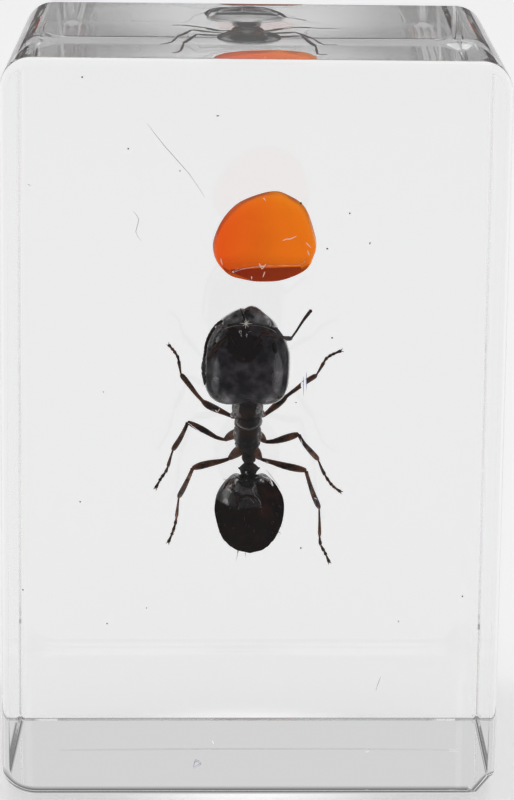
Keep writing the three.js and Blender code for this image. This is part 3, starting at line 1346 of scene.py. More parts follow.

# %% [markdown]
# A veil of trapped air lies over the front third of the gaster. It ends in a wavy edge, a wet
# patch cuts into it on the right, and it is thick only where it faces outwards, so that it looks
# like grey smoke over the black. Below it, the shell is wet, with a reddish patch where resin has
# crept in least. Two fine grey beads like the rim's are painted highlights along folds of the veil.

# %% Film on the gaster
VEIL_NORMAL = Vector((0.0, -0.985, 0.17))  # the veil is thick where the shell faces this way
VEIL_EDGE = 15.98
VEIL_FILM = 0.75
THIN_VEIL_FILM = 0.03
SEAM_FILM = 0.9
GASTER_RIM_FILM = 0.30
GASTER_UNDER_FILM = 0.35
SOAKED_MOST = 0.85
SOAKED_LESS = 0.75  # how much less in the reddish patch


def gaster_film(x, depth, z, normal):
    """A veil of air over the front third; the rest is wet and black."""
    edge = VEIL_EDGE + 0.10 * math.sin(x * 2.6 + 0.9) + 0.26 * ease(-x, 0.5, 1.3)
    veil = ease(z, edge, edge + 0.16)
    patch_edge = 0.42 + 0.30 * (17.2 - z)
    wet_patch = ease(x, patch_edge, patch_edge + 0.08) * (1 - ease(z, 17.45, 17.6))
    seam = SEAM_FILM * band(x, patch_edge - 0.03, 0.05, 0.03) * band(z, 16.95, 0.62, 0.08)
    folds = THIN_VEIL_FILM + 0.17 * band(x, -0.95, 0.6, 0.3) + 0.08 * band(x, 0.22, 0.22, 0.12)
    thick = folds + (VEIL_FILM - folds) * ease(normal.dot(VEIL_NORMAL), 0.765, 0.81)
    rim = GASTER_RIM_FILM * ease(z, 17.45, 17.62)
    under = GASTER_UNDER_FILM * ease(depth, 12.2, 12.8)
    return max(veil * (1 - wet_patch) * thick, seam, rim, under)


def gaster_soaked(x, depth, z, normal):
    """How far resin has crept in: nearly all the way, but least in the reddish patch."""
    glow = band(x, 1.15, 0.55, 0.4) * band(z, 16.6, 0.9, 0.6)
    return SOAKED_MOST - SOAKED_LESS * glow


# Painted highlights: two grey beads along folds of the veil.
SHINE_LINES = [
    [(0.34, 17.42), (0.20, 17.20), (0.28, 16.95), (0.48, 16.72), (0.64, 16.50), (0.70, 16.28)],
    [(0.02, 16.78), (0.14, 16.60), (0.30, 16.42)],
]
SHINE_HALVES = (0.032, 0.018)
bm = bmesh.new()
for line, half in zip(SHINE_LINES, SHINE_HALVES):
    bead(bm, gaster_surface, line, half, 0.0, sides=6)
settle("ant_gaster_shine_lines", bm, rim_and_highlight_shell)
paint(gaster, gaster_film)
paint(gaster, gaster_soaked, "soaked")

# %% [markdown]
# ## Legs
# A leg is a chain: hip, small ring, thigh, shin, and a foot of five joints that each widen
# towards their end and carry stiff bristles, with two claws last. One function builds it from
# three given routes. Thighs are spindle-shaped and shins are clubs, so each has its profile.

# %% Leg parts
THIGH_PROFILE = [
    (0.0, 0.08), (0.06, 0.115), (0.25, 0.15), (0.5, 0.21), (0.75, 0.225), (0.92, 0.18), (1.0, 0.12),
]
SHIN_PROFILE = [
    (0.0, 0.12), (0.08, 0.11), (0.3, 0.125), (0.6, 0.155), (0.85, 0.165), (0.96, 0.14), (1.0, 0.10),
]
HIP_PROFILE = [(0.0, 0.24), (0.3, 0.30), (0.7, 0.24), (1.0, 0.13)]
FOOT_CUTS = [0.0, 0.40, 0.55, 0.68, 0.79, 1.0]  # where the foot's five joints meet
FOOT_HALF = 0.100
FOOT_SHAPE = [(0.0, 0.5), (0.5, 0.8), (0.9, 1.1), (1.0, 0.6)]
FOOT_PROFILE = [(t, FOOT_HALF * share) for t, share in FOOT_SHAPE]
KNEE_PROFILE = [(0.7, 0.03), (1.0, 0.03)]
BRISTLE_HALF = 0.011
FOOT_BRISTLE = 0.13  # length
KNEE_BRISTLE = 0.16  # length
SHIN_BRISTLE = 0.10  # length
SHIN_HALF = 0.12  # where the shin's bristles are rooted
chance = random.Random(7)


def claws(bm, tip, way):
    """Two small hooked claws at the end of a foot."""
    sideways = way.cross(Vector((0, 1, 0))).normalized()
    for side in (-1, 1):
        start = tip + sideways * side * 0.02
        middle = start + way * 0.09 + sideways * side * 0.06
        end = middle + way * 0.07 + sideways * side * 0.01 + Vector((0, 0.05, 0))
        stations = [
            (p.x, p.y - FRONT, p.z, half, half)
            for p, half in ((start, 0.026), (middle, 0.018), (end, 0.005))
        ]
        loft(bm, stations, 6, steps=2)


def bristles(bm, stations, count, length):
    """Stiff hairs round the far end of a joint, leaning along it."""
    way = (spot(*stations[-1][:3]) - spot(*stations[0][:3])).normalized()
    side = way.cross(Vector((0, 1, 0))).normalized()
    for i in range(count):
        turn = Matrix.Rotation(2 * math.pi * (i + chance.random()) / count, 3, way)
        out = turn @ side
        row = stations[-1 - i % 2]
        root = spot(*row[:3]) + out * row[3] * 0.8
        spine(bm, root, way * 1.1 + out, length * chance.uniform(0.7, 1.2), BRISTLE_HALF, bend=0.05)


def leg(name, hips, hip, thigh, shin, foot, stout=1.0, thigh_size=1.0):
    """One leg, from its routes. Its hip joins the hips' shape, and its bristles are returned."""
    limb(hips, hip, [(t, half * stout) for t, half in HIP_PROFILE], sides=20)
    bm = bmesh.new()
    limb(bm, thigh, [(t, half * thigh_size) for t, half in THIGH_PROFILE], sides=18)
    limb(bm, shin, SHIN_PROFILE, sides=16)
    hairs = bmesh.new()
    for part in split_route(foot, FOOT_CUTS):
        joint = limb(bm, part, FOOT_PROFILE, sides=10)
        bristles(hairs, joint, 5, FOOT_BRISTLE)
    fine = between(foot, 4)
    way = (spot(*fine[-1]) - spot(*fine[-3])).normalized()
    claws(bm, spot(*fine[-1]), way)
    shin_end = limb(bm, shin[-2:], KNEE_PROFILE, sides=6)
    bristles(hairs, shin_end, 6, KNEE_BRISTLE)
    shin_rows = [(*point, SHIN_HALF, SHIN_HALF) for point in between(shin, 3)]
    for row in shin_rows[2:-1]:
        bristles(hairs, [shin_rows[0], row, row], 2, SHIN_BRISTLE)
    settle(name, bm, limb_shell)
    return hairs


print("joints in a foot:", len(FOOT_CUTS) - 1)

# %% [markdown]
# The six legs all lie a little differently, as they did when the insect dried, so each has its
# own routes of (x, depth, z) points. Mirrored legs would look like a drawing.

# %% Leg routes
LEGS = {
    "left_front": dict(
        hip=[(-0.55, 12.4, 21.65), (-0.8, 13.0, 21.3), (-1.0, 13.5, 21.05)],
        thigh=[(-0.95, 13.45, 21.05), (-1.85, 13.9, 21.4), (-2.35, 13.65, 21.68), (-2.75, 13.3, 22.02)],
        shin=[(-2.72, 13.3, 22.0), (-3.1, 13.4, 22.4), (-3.4, 13.5, 22.8), (-4.05, 13.8, 23.6)],
        foot=[
            (-4.05, 13.8, 23.6), (-4.15, 14.2, 24.05), (-4.25, 14.5, 24.55), (-4.55, 14.8, 24.95),
            (-4.8, 15.1, 25.2),
        ],
    ),
    "right_front": dict(
        hip=[(0.4, 12.4, 21.65), (0.65, 13.0, 21.35), (0.9, 13.5, 21.15)],
        thigh=[(0.85, 13.5, 21.1), (1.2, 13.75, 21.35), (1.6, 13.75, 21.7), (2.2, 13.5, 22.3)],
        shin=[(2.2, 13.5, 22.3), (2.75, 13.6, 22.7), (3.2, 13.7, 23.05), (4.0, 14.15, 23.5)],
        foot=[
            (4.0, 14.15, 23.5), (4.3, 14.7, 23.9), (4.6, 15.1, 24.35), (5.0, 15.3, 24.6),
            (5.5, 15.4, 24.8),
        ],
    ),
    "left_middle": dict(
        hip=[(-0.55, 12.4, 20.25), (-1.0, 12.85, 20.05), (-1.42, 13.2, 19.68)],
        thigh=[(-1.4, 13.2, 19.66), (-2.05, 13.3, 19.85), (-2.6, 13.3, 20.2), (-3.65, 13.1, 20.78)],
        shin=[(-3.66, 13.12, 20.74), (-3.86, 13.25, 20.25), (-4.1, 13.6, 19.7), (-4.55, 14.0, 18.9)],
        foot=[
            (-4.55, 14.0, 18.9), (-4.75, 14.5, 18.15), (-4.95, 14.9, 17.45), (-5.3, 15.0, 16.9),
            (-5.6, 14.85, 16.35),
        ],
        thigh_size=0.85,
    ),
    "right_middle": dict(
        hip=[(0.4, 12.4, 20.2), (0.7, 12.9, 19.9), (0.95, 13.2, 19.58)],
        thigh=[(0.93, 13.2, 19.55), (1.5, 13.2, 19.58), (2.1, 13.2, 19.75), (2.95, 13.1, 20.05)],
        shin=[(2.98, 13.1, 20.0), (3.22, 13.1, 19.55), (3.65, 13.6, 18.95), (4.15, 14.1, 18.3)],
        foot=[
            (4.15, 14.1, 18.3), (4.4, 14.6, 17.6), (4.75, 15.0, 16.9), (5.1, 14.7, 16.5),
            (5.55, 14.45, 16.2),
        ],
    ),
    "left_hind": dict(
        hip=[(-0.35, 12.3, 19.35), (-0.75, 12.8, 18.95), (-1.15, 13.1, 18.55)],
        thigh=[(-1.15, 13.1, 18.52), (-1.8, 13.0, 18.35), (-2.5, 12.95, 18.22), (-3.35, 12.5, 18.05)],
        shin=[(-3.38, 12.5, 18.0), (-3.5, 12.7, 17.65), (-3.85, 13.4, 16.75), (-4.2, 14.1, 15.95)],
        foot=[
            (-4.2, 14.1, 15.95), (-4.3, 14.7, 15.0), (-4.4, 15.2, 14.15), (-4.6, 15.2, 13.45),
            (-4.85, 15.0, 12.9),
        ],
        stout=1.1,
    ),
    "right_hind": dict(
        hip=[(0.2, 12.3, 19.3), (0.42, 12.75, 18.95), (0.68, 13.1, 18.55)],
        thigh=[(0.7, 13.1, 18.5), (1.4, 13.2, 18.28), (2.1, 13.15, 18.08), (3.4, 12.65, 17.88)],
        shin=[(3.42, 12.65, 17.8), (3.6, 12.9, 17.15), (3.9, 13.6, 16.15), (4.25, 14.2, 15.25)],
        foot=[
            (4.25, 14.2, 15.25), (4.3, 14.6, 14.1), (4.35, 15.0, 12.9), (4.65, 14.7, 12.3),
            (4.9, 14.2, 11.8),
        ],
        stout=1.1,
    ),
}

print("legs:", list(LEGS))

# %% [markdown]
# Bristles and hairs are stiff and golden brown. They are real shapes, each a thin tapering limb.
# A hair system would be quicker to comb, but a few hundred hairs are no burden as a mesh.

# %% Legs and bristles
hair_material, tree, shader = new_material("golden_bristle", Roughness=0.4)
GOLD_TONES = ((0.07, 0.035, 0.016), (0.28, 0.15, 0.07))
two_tones(tree, pattern_place(tree), shader, GOLD_TONES, Scale=9000.0, Detail=2.0)
hips = bmesh.new()
for side_name, routes in LEGS.items():
    hairs = leg("ant_leg_" + side_name, hips, **routes)
    settle("ant_bristles_" + side_name, hairs, hair_material)
settle("ant_hips", hips, hip_shell)

# %% [markdown]
# On the gaster the hairs are short and lie back. Each root is where a ray from a random place
# around the gaster meets it. A few long hairs that break its outline are placed one by one.

# %% Hairs on the gaster
GASTER_HAIRS = 46
HAIR_HALF = 0.006
LONG_HAIR_HALF = 0.016
bm = bmesh.new()
for _ in range(GASTER_HAIRS):
    turn = chance.uniform(0, 2 * math.pi)
    start = Vector((4 * math.cos(turn), 4 * math.sin(turn), chance.uniform(12.4, 17.6)))
    aim = Vector((0, 0.5, 15.4)) - start
    root, out, _, _ = gaster_surface.ray_cast(start, aim.normalized())
    if root:
        spine(bm, root, out + Vector((0, 0, -0.8)), chance.uniform(0.1, 0.22), HAIR_HALF)
LONG_HAIRS = [  # (root, way, length)
    ((-1.36, 11.3, 17.50), (-0.8, -0.2, 0.6), 0.26),
    ((-0.60, 11.3, 13.16), (-0.3, 0.0, -1.0), 0.55),
    ((-0.66, 11.4, 13.18), (-0.05, 0.0, -1.0), 0.34),
    ((-0.2, 11.3, 13.0), (0.05, -0.2, -1.0), 0.24),
    ((1.78, 11.3, 14.3), (0.9, 0.0, -0.6), 0.2),
    ((1.98, 11.3, 16.3), (1.0, 0.0, 0.4), 0.12),
]
for root, way, length in LONG_HAIRS:
    spine(bm, spot(*root), Vector(way), length, LONG_HAIR_HALF)
settle("ant_gaster_hairs", bm, hair_material)

# %% [markdown]
# ## Amber
# The chip is a pebble of clear amber, with its foot sawn off at a slant. Amber bends light almost
# as resin does, so hardly any shine shows it, only its colour: an absorbing volume, warmed by a
# tint that runs from red at the left to gold at the right. A weak glow stands for the light that
# amber scatters inside. Its steep sides are darker by a painted number, as on the ant, and low on
# its front that darker colour is painted shade.

# %% Amber material
RED_AMBER = (0.91, 0.10, 0.015, 1)
GOLD_AMBER = (0.97, 0.34, 0.010, 1)
# The darker colour: on the steep sides, and as painted shade low on the front.
DARKENED_COLOUR = (0.16, 0.012, 0.006, 1)
CLOUD_SHARE = 0.6  # how much the clouds stir the run from red to gold
amber, tree, shader = new_material(
    "amber", Roughness=0.0, IOR=1.03, Transmission_Weight=0.93, Emission_Strength=0.05,
)
centre = pattern_place(tree, (0.9 * MM, 0, 32.6 * MM))
clouds = add_node(tree, "ShaderNodeTexNoise", Scale=260.0, Detail=3.0)
warmth = add_node(tree, "ShaderNodeMix", data_type="RGBA")
warmth.inputs["A"].default_value = RED_AMBER
warmth.inputs["B"].default_value = GOLD_AMBER
# The painted darkening: steep sides, a brown cloud, and painted shade low on the front.
amber_darkening = add_node(tree, "ShaderNodeAttribute", attribute_name="amber_darkening")
with_darkening = add_node(tree, "ShaderNodeMix", data_type="RGBA")
with_darkening.inputs["B"].default_value = DARKENED_COLOUR
across = add_node(tree, "ShaderNodeSeparateXYZ")
left_to_right = add_node(tree, "ShaderNodeMapRange", From_Min=-2.6 * MM, From_Max=2.2 * MM)
mixed = add_node(tree, "ShaderNodeMath", operation="MULTIPLY_ADD")
mixed.inputs[1].default_value = CLOUD_SHARE
skin = add_node(tree, "ShaderNodeTexNoise", Scale=2500.0, Detail=3.0)
pitting = add_node(tree, "ShaderNodeBump", Strength=0.4, Distance=0.00002)
depth_colour = add_node(tree, "ShaderNodeVolumeAbsorption", Density=900.0)
depth_colour.inputs["Color"].default_value = (0.96, 0.72, 0.35, 1)
join(
    tree,
    (centre, "Vector", clouds, "Vector"),
    (centre, "Vector", skin, "Vector"),
    (centre, "Vector", across, "Vector"),
    (across, "X", left_to_right, "Value"),
    (clouds, "Fac", mixed, 0),
    (left_to_right, 0, mixed, 2),
    (mixed, 0, warmth, "Factor"),
    (warmth, "Result", with_darkening, "A"),
    (amber_darkening, "Fac", with_darkening, "Factor"),
    (with_darkening, "Result", shader, "Base Color"),
    (with_darkening, "Result", shader, "Emission Color"),
    (skin, "Fac", pitting, "Height"),
    (pitting, "Normal", shader, "Normal"),
    (depth_colour, "Volume", tree.nodes["Material Output"], "Volume"),
)
print("amber bends light, against resin, by", shader.inputs["IOR"].default_value)

# %% [markdown]
# The sawn foot was never polished. Seen through the amber it is a rough, deep red surface, so it
# has a dull material of its own, on the one face that closes the cut. Its weak red glow is painted
# light.

# %% Amber foot facet material
foot_facet, tree, shader = new_material(
    "amber_rough_facet", Roughness=0.6, Specular_IOR_Level=0.1,
    Emission_Color=(1.0, 0.13, 0.08, 1.0), Emission_Strength=0.17,
)
FACET_TONES = ((0.16, 0.015, 0.01), (0.42, 0.07, 0.05))
two_tones(tree, pattern_place(tree), shader, FACET_TONES, Scale=900.0, Detail=4.0)
print("facet glow:", shader.inputs["Emission Strength"].default_value)

# %% [markdown]
# The pebble's outline is a smooth closed curve through sixteen points. A ring on that curve is
# drawn through the depth and scaled layer by layer, steep at the edge, and both faces are closed
# by smaller and smaller rings. A slanting plane then saws the foot off, and one face fills the cut.

# %% Amber outline and layers
AMBER_CENTRE = (0.85, 9.8, 32.55)
AMBER_OUTLINE = [  # (x, z) from the centre, from the left side over the top
    (-2.98, -0.44), (-2.57, 0.64), (-1.66, 1.73), (-0.42, 2.36), (0.65, 2.50), (1.54, 2.20),
    (2.30, 1.60), (2.71, 0.65), (3.00, -0.50), (2.89, -1.18), (2.54, -1.80), (1.29, -2.41),
    (-0.40, -2.52), (-1.95, -2.26), (-2.62, -1.80), (-2.95, -1.20),
]
OUTLINE_STEPS = 8
AMBER_LAYERS = [  # (depth from the middle, share of the outline)
    (-1.26, 0.68), (-1.20, 0.78), (-1.05, 0.87), (-0.8, 0.925), (-0.4, 0.965), (0.0, 0.985),
    (0.5, 0.995), (0.9, 1.0), (1.16, 0.99), (1.27, 0.97), (1.32, 0.93),
]
AMBER_TILT = math.radians(3.0)
FOOT_PIVOT = Matrix.Translation((0, 0, 2.35))  # layers shrink towards the foot, which stays steep
FACET_PLACE = (1.0, 11.3, 30.50)
FACET_WAY = Vector((0.044, 0.22, -1.0))
FACE_RISE = 0.12  # how far the middles of the two faces stand out
FACE_SHARES = (0.8, 0.75, 0.66, 0.5)  # each closing ring's size, as a share of the one before
outline_points = between([AMBER_OUTLINE[-1], *AMBER_OUTLINE, *AMBER_OUTLINE[:2]], OUTLINE_STEPS)
outline_points = outline_points[OUTLINE_STEPS:OUTLINE_STEPS * (len(AMBER_OUTLINE) + 1)]
print("points round the amber:", len(outline_points))

# %% [markdown]
# Drawing a ring out keeps every face a four-sided one in order round the chip, so a little noise
# is enough to make it look worn and not turned. The noise comes before the cut, which leaves
# the sawn face flat.

# %% Amber shape
bm = bmesh.new()
ring = bmesh.ops.create_circle(bm, cap_ends=False, segments=len(outline_points), radius=1.0)["verts"]
loop = list(dict.fromkeys(edge for vert in ring for edge in vert.link_edges))
first_loop = loop
for vert, (x, z) in zip(ring, outline_points):
    vert.co = (x, 0.0, z)
layers = between(AMBER_LAYERS, 3)
depth_now, share_now = 0.0, 1.0
for i, (depth, share) in enumerate(layers):
    if i:
        ring, loop = draw_out(bm, loop)
    ratio = share / share_now
    bmesh.ops.scale(bm, vec=(ratio, 1.0, ratio), space=FOOT_PIVOT, verts=ring)
    bmesh.ops.translate(bm, vec=(0, depth - depth_now, 0), verts=ring)
    depth_now, share_now = depth, share
front_middle = AMBER_LAYERS[0][0] - FACE_RISE
back_middle = AMBER_LAYERS[-1][0] + FACE_RISE
for end_loop, depth in ((first_loop, front_middle), (loop, back_middle)):
    for share in FACE_SHARES:
        ring, end_loop = draw_out(bm, end_loop)
        bmesh.ops.scale(bm, vec=(share, 1.0, share), verts=ring)
        bmesh.ops.translate(bm, vec=(0, (depth - ring[0].co.y) * 0.45, 0), verts=ring)
    ring, _ = draw_out(bm, end_loop)
    bmesh.ops.pointmerge(bm, verts=ring, merge_co=(0, depth, 0))
roughen(bm, 0.9, 0.05)
bmesh.ops.rotate(bm, matrix=Matrix.Rotation(AMBER_TILT, 3, "X"), verts=bm.verts)
bmesh.ops.translate(bm, vec=spot(*AMBER_CENTRE), verts=bm.verts)
cut = bmesh.ops.bisect_plane(
    bm, geom=[*bm.verts, *bm.edges, *bm.faces], plane_co=spot(*FACET_PLACE), plane_no=FACET_WAY,
    clear_outer=True,
)
rim_edges = [part for part in cut["geom_cut"] if isinstance(part, bmesh.types.BMEdge)]
facet = bmesh.ops.edgeloop_fill(bm, edges=rim_edges)["faces"]
for face in facet:
    face.material_index = 1
for edge in rim_edges:
    edge.smooth = False
chip = settle("amber_chip", bm, amber)
chip.data.materials.append(foot_facet)

# %% [markdown]
# A darker colour is painted where the chip's side is steep, more at the upper left, with a faint
# brown cloud on the front. Low on the front it is darker again, and that part is painted shade.

# %% Darker sides and painted shade on the amber
STEEP_SIDE_LEAST = 0.25
STEEP_SIDE_LEFT = 0.8
STEEP_SIDE_UPPER_RIGHT = 0.6
# How much painted shade darkens the chip's lower front.
PAINTED_SHADE_BELOW = 0.42
BROWN_CLOUD = 0.16


def darkening_rule(x, depth, z, normal):
    """Darker on the steep side of the chip, most at the upper left, with painted shade lower down."""
    facing = ease(-normal.y, 0.3, 0.8)
    side = ease(-abs(normal.y), -0.30, -0.02)
    left = ease(z - 0.7 * x, 31.6, 33.6)
    upper_right = STEEP_SIDE_UPPER_RIGHT * ease(x + 0.8 * z, 29.4, 30.2) * (1 - ease(z, 34.6, 35.0))
    # Painted shade on the lower front of the chip.
    low = PAINTED_SHADE_BELOW * (1 - ease(z, 30.9, 31.7)) * facing
    spread = ((x - 0.75) ** 2) / 0.9 + ((z - 32.2) ** 2) / 2.4
    cloud = BROWN_CLOUD * math.exp(-spread) * facing
    return min(side * (STEEP_SIDE_LEAST + STEEP_SIDE_LEFT * left + upper_right) + low + cloud, 1.0)


paint(chip, darkening_rule, "amber_darkening")

# %% [markdown]
# ## Marks in the casting
# Air shows bright in resin, since light that grazes a thin gap is thrown back. So the thin gap
# across the amber, the pocket at the gaster's shoulder and the small beads of air by the body
# share one silvery material. It is clear where one looks straight through it and bright at its
# edges, from the same Fresnel node as the ant's skin.

# %% Air material
air_gap, tree, shader = new_material("air_gap", Roughness=0.12, Metallic=1.0)
AIR_TONES = ((0.55, 0.55, 0.57), (0.95, 0.95, 0.96))
creases = two_tones(tree, pattern_place(tree), shader, AIR_TONES, Scale=2600.0, Detail=4.0)
wrinkles = add_node(tree, "ShaderNodeBump", Strength=1.0, Distance=0.0001)
thrown_back = add_node(tree, "ShaderNodeFresnel", IOR=AIR_IN_RESIN)
join(
    tree,
    (creases, "Fac", wrinkles, "Height"),
    (wrinkles, "Normal", shader, "Normal"),
    (wrinkles, "Normal", thrown_back, "Normal"),
    (thrown_back, "Fac", shader, "Alpha"),
)
print("air in the resin throws light back as IOR", round(AIR_IN_RESIN, 3))

# %% [markdown]
# Dust, fibres and fine gaps are too small to show more than a dull colour. Some of them glow a
# little, in place of the light that a scratch or a crack catches from every side.

# %% Dull materials
def speckled(name, dark, light, glow=0.0):
    """A dull material between two colours, for a mark too small to show more."""
    material, tree, shader = new_material(
        name, Roughness=0.7, Specular_IOR_Level=0.1, Emission_Color=(*light, 1), Emission_Strength=glow,
    )
    two_tones(tree, pattern_place(tree), shader, (dark, light), Scale=5000.0, Detail=2.0)
    return material


dust = speckled("dust", (0.10, 0.07, 0.05), (0.35, 0.27, 0.18))
faint = speckled("faint_fibre", (0.45, 0.44, 0.42), (0.62, 0.60, 0.56), glow=0.25)
scratch = speckled("scratch", (0.70, 0.72, 0.80), (0.92, 0.93, 1.0), glow=0.55)
flake = speckled("pinkish_flake", (0.80, 0.45, 0.34), (0.95, 0.66, 0.55), glow=0.35)
blue_line = speckled("bluish_scratch", (0.20, 0.22, 0.38), (0.42, 0.45, 0.66), glow=0.12)
for material in (dust, faint, scratch, flake, blue_line):
    print("dull material:", material.name)

# %% [markdown]
# Every mark is either a stroke or a grain. A stroke is a thin limb that swells and tapers like a
# pen's, and a grain is a squashed ball, roughened by a noise so that no two look alike.

# %% Strokes and grains
STROKE_SHAPE = [(0.0, 0.4), (0.3, 1.0), (0.7, 0.8), (1.0, 0.3)]


def strokes(name, lines, material, half):
    """Fine strokes along lines of (x, depth, z) points."""
    bm = bmesh.new()
    for line in lines:
        limb(bm, line, [(t, half * share) for t, share in STROKE_SHAPE], sides=6)
    settle(name, bm, material)


def grains(name, places, material, subdivisions=2):
    """Small lumps at (x, depth, z, half width, half height)."""
    bm = bmesh.new()
    for x, depth, z, half_width, half_height in places:
        lump = bmesh.ops.create_icosphere(bm, subdivisions=subdivisions, radius=1.0)["verts"]
        size = (half_width, min(half_width, half_height), half_height)
        bmesh.ops.scale(bm, vec=size, verts=lump)
        bmesh.ops.translate(bm, vec=spot(x, depth, z), verts=lump)
    roughen(bm, 9.0, 0.02)
    settle(name, bm, material)


print("a stroke swells to its full width at", STROKE_SHAPE[1][0], "of its length")

# %% [markdown]
# Where resin meets the amber, small flakes have lifted and one thin gap runs across its front.
# At the gaster's shoulder a wrinkled pocket of air is caught behind the waist.

# %% Flakes, gap and pocket
# The flakes glow a little: painted light for the light they catch.
FLAKES = [
    [(1.86, 8.36, 32.50), (2.06, 8.36, 32.60), (2.25, 8.36, 32.62)],
    [(2.15, 8.37, 32.56), (2.42, 8.37, 32.66), (2.66, 8.38, 32.77)],
    [(0.49, 8.38, 31.17), (0.60, 8.38, 30.98), (0.66, 8.38, 30.80)],
    [(0.90, 8.38, 31.12), (0.78, 8.38, 30.96), (0.66, 8.38, 30.80)],
    [(0.55, 8.40, 31.00), (0.70, 8.40, 30.98), (0.84, 8.40, 31.02)],
    [(0.84, 8.42, 30.66), (0.78, 8.42, 30.50), (0.72, 8.42, 30.31)],
    [(0.05, 8.46, 30.38), (0.08, 8.46, 30.28), (0.06, 8.46, 30.20)],
    [(3.20, 8.55, 32.35), (3.36, 8.55, 32.22), (3.48, 8.58, 32.05)],
    [(3.30, 8.60, 31.90), (3.36, 8.60, 31.74), (3.40, 8.62, 31.58)],
    [(-1.72, 8.60, 31.42), (-1.68, 8.58, 31.22), (-1.62, 8.58, 31.05)],
    [(0.72, 8.40, 35.02), (0.80, 8.40, 34.94), (0.86, 8.40, 34.84)],
]
strokes("amber_flakes", FLAKES, flake, 0.035)
LEDGE_GAP = [
    (-1.02, 8.50, 30.62), (-0.62, 8.42, 30.80), (-0.20, 8.38, 30.92), (0.36, 8.36, 31.00),
    (1.02, 8.36, 31.04), (1.70, 8.36, 31.00), (2.28, 8.38, 30.95), (2.72, 8.42, 30.98),
    (3.00, 8.50, 31.20), (3.14, 8.58, 31.36),
]
LEDGE_PROFILE = [(0.0, 0.07), (0.12, 0.055), (0.45, 0.035), (0.9, 0.03), (1.0, 0.02)]
bm = bmesh.new()
limb(bm, LEDGE_GAP, LEDGE_PROFILE, sides=8)
settle("amber_ledge_gap", bm, air_gap)
POCKET = [
    (0.42, 10.75, 17.74), (0.75, 10.7, 17.83), (1.02, 10.7, 17.72), (1.24, 10.75, 17.48),
    (1.40, 10.85, 17.2),
]
POCKET_PROFILE = [(0.0, 0.03), (0.2, 0.08), (0.5, 0.17), (0.75, 0.15), (1.0, 0.03)]
bm = bmesh.new()
limb(bm, POCKET, POCKET_PROFILE, sides=20)
roughen(bm, 4.0, 0.06)
settle("gaster_air_pocket", bm, air_gap)

# %% [markdown]
# Beads of air sit in the corners where the resin couldn't reach, such as the hips and the mouth.
# Along the legs the resin shrank away as it set, and each gap is drawn as a thin glowing stroke, a
# painted glint. A pale tuft of hair stands at the mouth.

# %% Beads, glints and tuft
AIR_BEADS = [
    (-1.00, 11.1, 21.55, 0.13, 0.07), (0.80, 11.1, 21.58, 0.07, 0.10), (-0.80, 11.0, 20.50, 0.05, 0.09),
    (-0.76, 11.0, 19.72, 0.07, 0.14), (0.52, 11.0, 20.45, 0.04, 0.10), (1.08, 12.4, 18.42, 0.08, 0.07),
    (-0.20, 11.0, 18.05, 0.04, 0.12), (-0.13, 11.0, 17.95, 0.08, 0.04), (-0.84, 10.9, 17.80, 0.12, 0.05),
    (-1.98, 9.10, 27.25, 0.07, 0.08), (-0.58, 8.95, 26.98, 0.09, 0.12), (-0.50, 8.90, 26.78, 0.04, 0.10),
    (-0.20, 8.85, 26.80, 0.04, 0.14), (0.00, 8.90, 27.00, 0.10, 0.04), (1.92, 11.0, 16.06, 0.07, 0.06),
]
grains("air_beads", AIR_BEADS, air_gap, subdivisions=3)
# Painted glints: glowing strokes where the resin shrank from the legs.
LEG_GLINTS = [  # thin gaps that the shrinking resin left along the legs
    [(-3.62, 12.85, 20.77), (-3.28, 12.85, 20.50), (-2.98, 12.85, 20.27), (-2.66, 12.9, 20.03)],
    [(3.09, 12.85, 19.80), (3.17, 12.85, 19.50), (3.19, 12.9, 19.20)],
    [(1.06, 12.9, 18.36), (1.12, 12.9, 18.28), (1.22, 12.9, 18.20)],
    [(3.93, 13.3, 16.05), (4.02, 13.3, 16.00), (4.12, 13.3, 15.96)],
    [(-2.02, 13.3, 21.52), (-1.92, 13.3, 21.40), (-1.84, 13.3, 21.36)],
    [(-1.76, 13.3, 21.58), (-1.80, 13.3, 21.48), (-1.86, 13.3, 21.40)],
]
strokes("leg_glints", LEG_GLINTS, scratch, 0.015)
TUFT_ROOT = (-0.22, 9.12, 27.45)
TUFT_HALF = 0.028
TUFT_HAIRS = [  # (way across, way up, length)
    (-1.0, 0.1, 0.40), (-0.8, -0.5, 0.26), (-0.2, -1.0, 0.30), (0.5, -0.8, 0.24), (1.0, 0.05, 0.38),
    (0.6, 0.8, 0.26), (-0.1, 1.0, 0.34), (-0.6, 0.8, 0.20),
]
bm = bmesh.new()
for x, z, length in TUFT_HAIRS:
    spine(bm, spot(*TUFT_ROOT), Vector((x, -0.2, z)), length, TUFT_HALF, bend=0.0)
settle("mouth_tuft", bm, faint)

# %% [markdown]
# Dust and lint settle on the first pour while it sets, so most of them lie in one layer behind
# the ant, between the two pours. Each grain is a small lump of its own.

# %% Dust and fibres
DUST = [
    (-9.75, 13, 41.5, 0.06, 0.05), (-7.1, 13, 37.3, 0.05, 0.05), (-4.1, 13, 36.0, 0.04, 0.05),
    (5.85, 13, 33.5, 0.05, 0.05), (4.47, 9.5, 31.87, 0.06, 0.05), (7.05, 13, 31.7, 0.05, 0.06),
    (4.9, 13, 25.98, 0.055, 0.055), (-8.65, 13, 22.65, 0.05, 0.04), (2.78, 13, 22.01, 0.045, 0.03),
    (-10.1, 13, 15.85, 0.05, 0.05), (3.15, 13, 12.95, 0.05, 0.05), (12.95, 13, 9.9, 0.05, 0.05),
    (9.1, 13, 8.3, 0.04, 0.05), (-6.15, 13, 9.15, 0.04, 0.04), (-8.55, 13, 8.15, 0.04, 0.05),
    (-13.6, 13, 10.3, 0.05, 0.05), (-1.9, 13, 39.25, 0.09, 0.04), (2.9, 9.2, 34.6, 0.08, 0.07),
]
grains("dust_grains", DUST, dust)
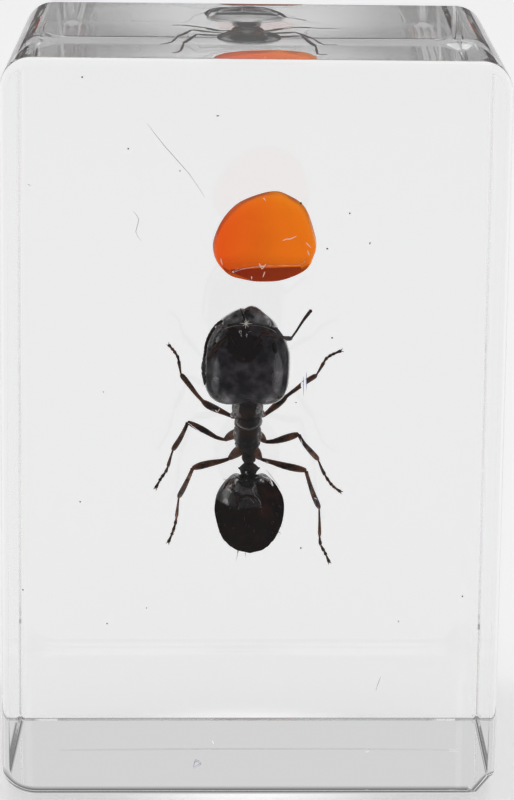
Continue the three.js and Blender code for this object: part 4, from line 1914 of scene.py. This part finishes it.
FIBRES = [
    [(-6.0, 13, 38.8), (-4.7, 13, 37.1), (-3.5, 13, 35.75), (-2.65, 13, 34.45)],
    [(-6.85, 13, 33.6), (-6.45, 13, 32.95), (-6.7, 13, 32.35), (-6.4, 13, 31.85)],
    [(8.1, 13, 4.75), (7.9, 13, 4.25), (7.8, 13, 3.8)],
    [(-13.0, 13, 35.2), (-12.8, 13, 35.1)],
    [(1.00, 10.5, 18.32), (1.43, 10.5, 17.76), (1.85, 10.5, 17.19)],
]
strokes("stray_fibres", FIBRES, faint, 0.022)

# %% [markdown]
# The front face carries two short scratches with a chipped spot between them. On the base, the
# two pours meet in a thin seam with a few bright spots, which are painted glints, and a burst
# bubble has left its outline.

# %% Scratches, seam and bubble
FACE_STROKES = [
    [(2.96, 0.06, 25.79), (2.97, 0.06, 25.2), (2.98, 0.06, 24.65)],
    [(3.13, 0.06, 26.05), (3.13, 0.06, 25.6), (3.14, 0.06, 24.98)],
]
strokes("face_scratches", FACE_STROKES, blue_line, 0.022)
FACE_CHIPS = [(3.05, 0.12, 25.40, 0.10, 0.26), (2.90, 0.12, 25.30, 0.08, 0.18)]
grains("face_chips", FACE_CHIPS, scratch)
SEAM = [
    (-11.5, 13.0, 0.03), (-7.2, 13.25, 0.03), (-2.0, 13.2, 0.03), (5.0, 13.3, 0.03), (12.4, 13.0, 0.03),
]
strokes("pour_seam", [SEAM], faint, 0.008)
# The bright spots on the seam are painted glints: glowing strokes.
SEAM_GLINTS = [
    [(12.3, 12.9, 0.05), (12.6, 12.8, 0.05), (12.9, 12.8, 0.05)],
    [(7.2, 12.8, 0.05), (7.3, 12.7, 0.05), (7.45, 12.7, 0.05)],
    [(-2.16, 15.6, 0.06), (-2.12, 15.2, 0.06), (-2.08, 14.8, 0.06)],
]
strokes("seam_glints", SEAM_GLINTS, scratch, 0.03)
BUBBLE = [
    (-3.30, 8.4, 0.05), (-3.12, 10.9, 0.05), (-2.86, 10.2, 0.05), (-2.94, 8.1, 0.05),
    (-3.30, 8.4, 0.05),
]
strokes("base_bubble", [BUBBLE], blue_line, 0.014)

# %% [markdown]
# The block's box is printed at the start and the whole's box here, so that the two can be compared.
# The whole must stay the size of the CAD model.

# %% Size and finish
low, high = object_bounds()
print("visual model, mm:", [round((top - bottom) / MM, 2) for bottom, top in zip(low, high)])
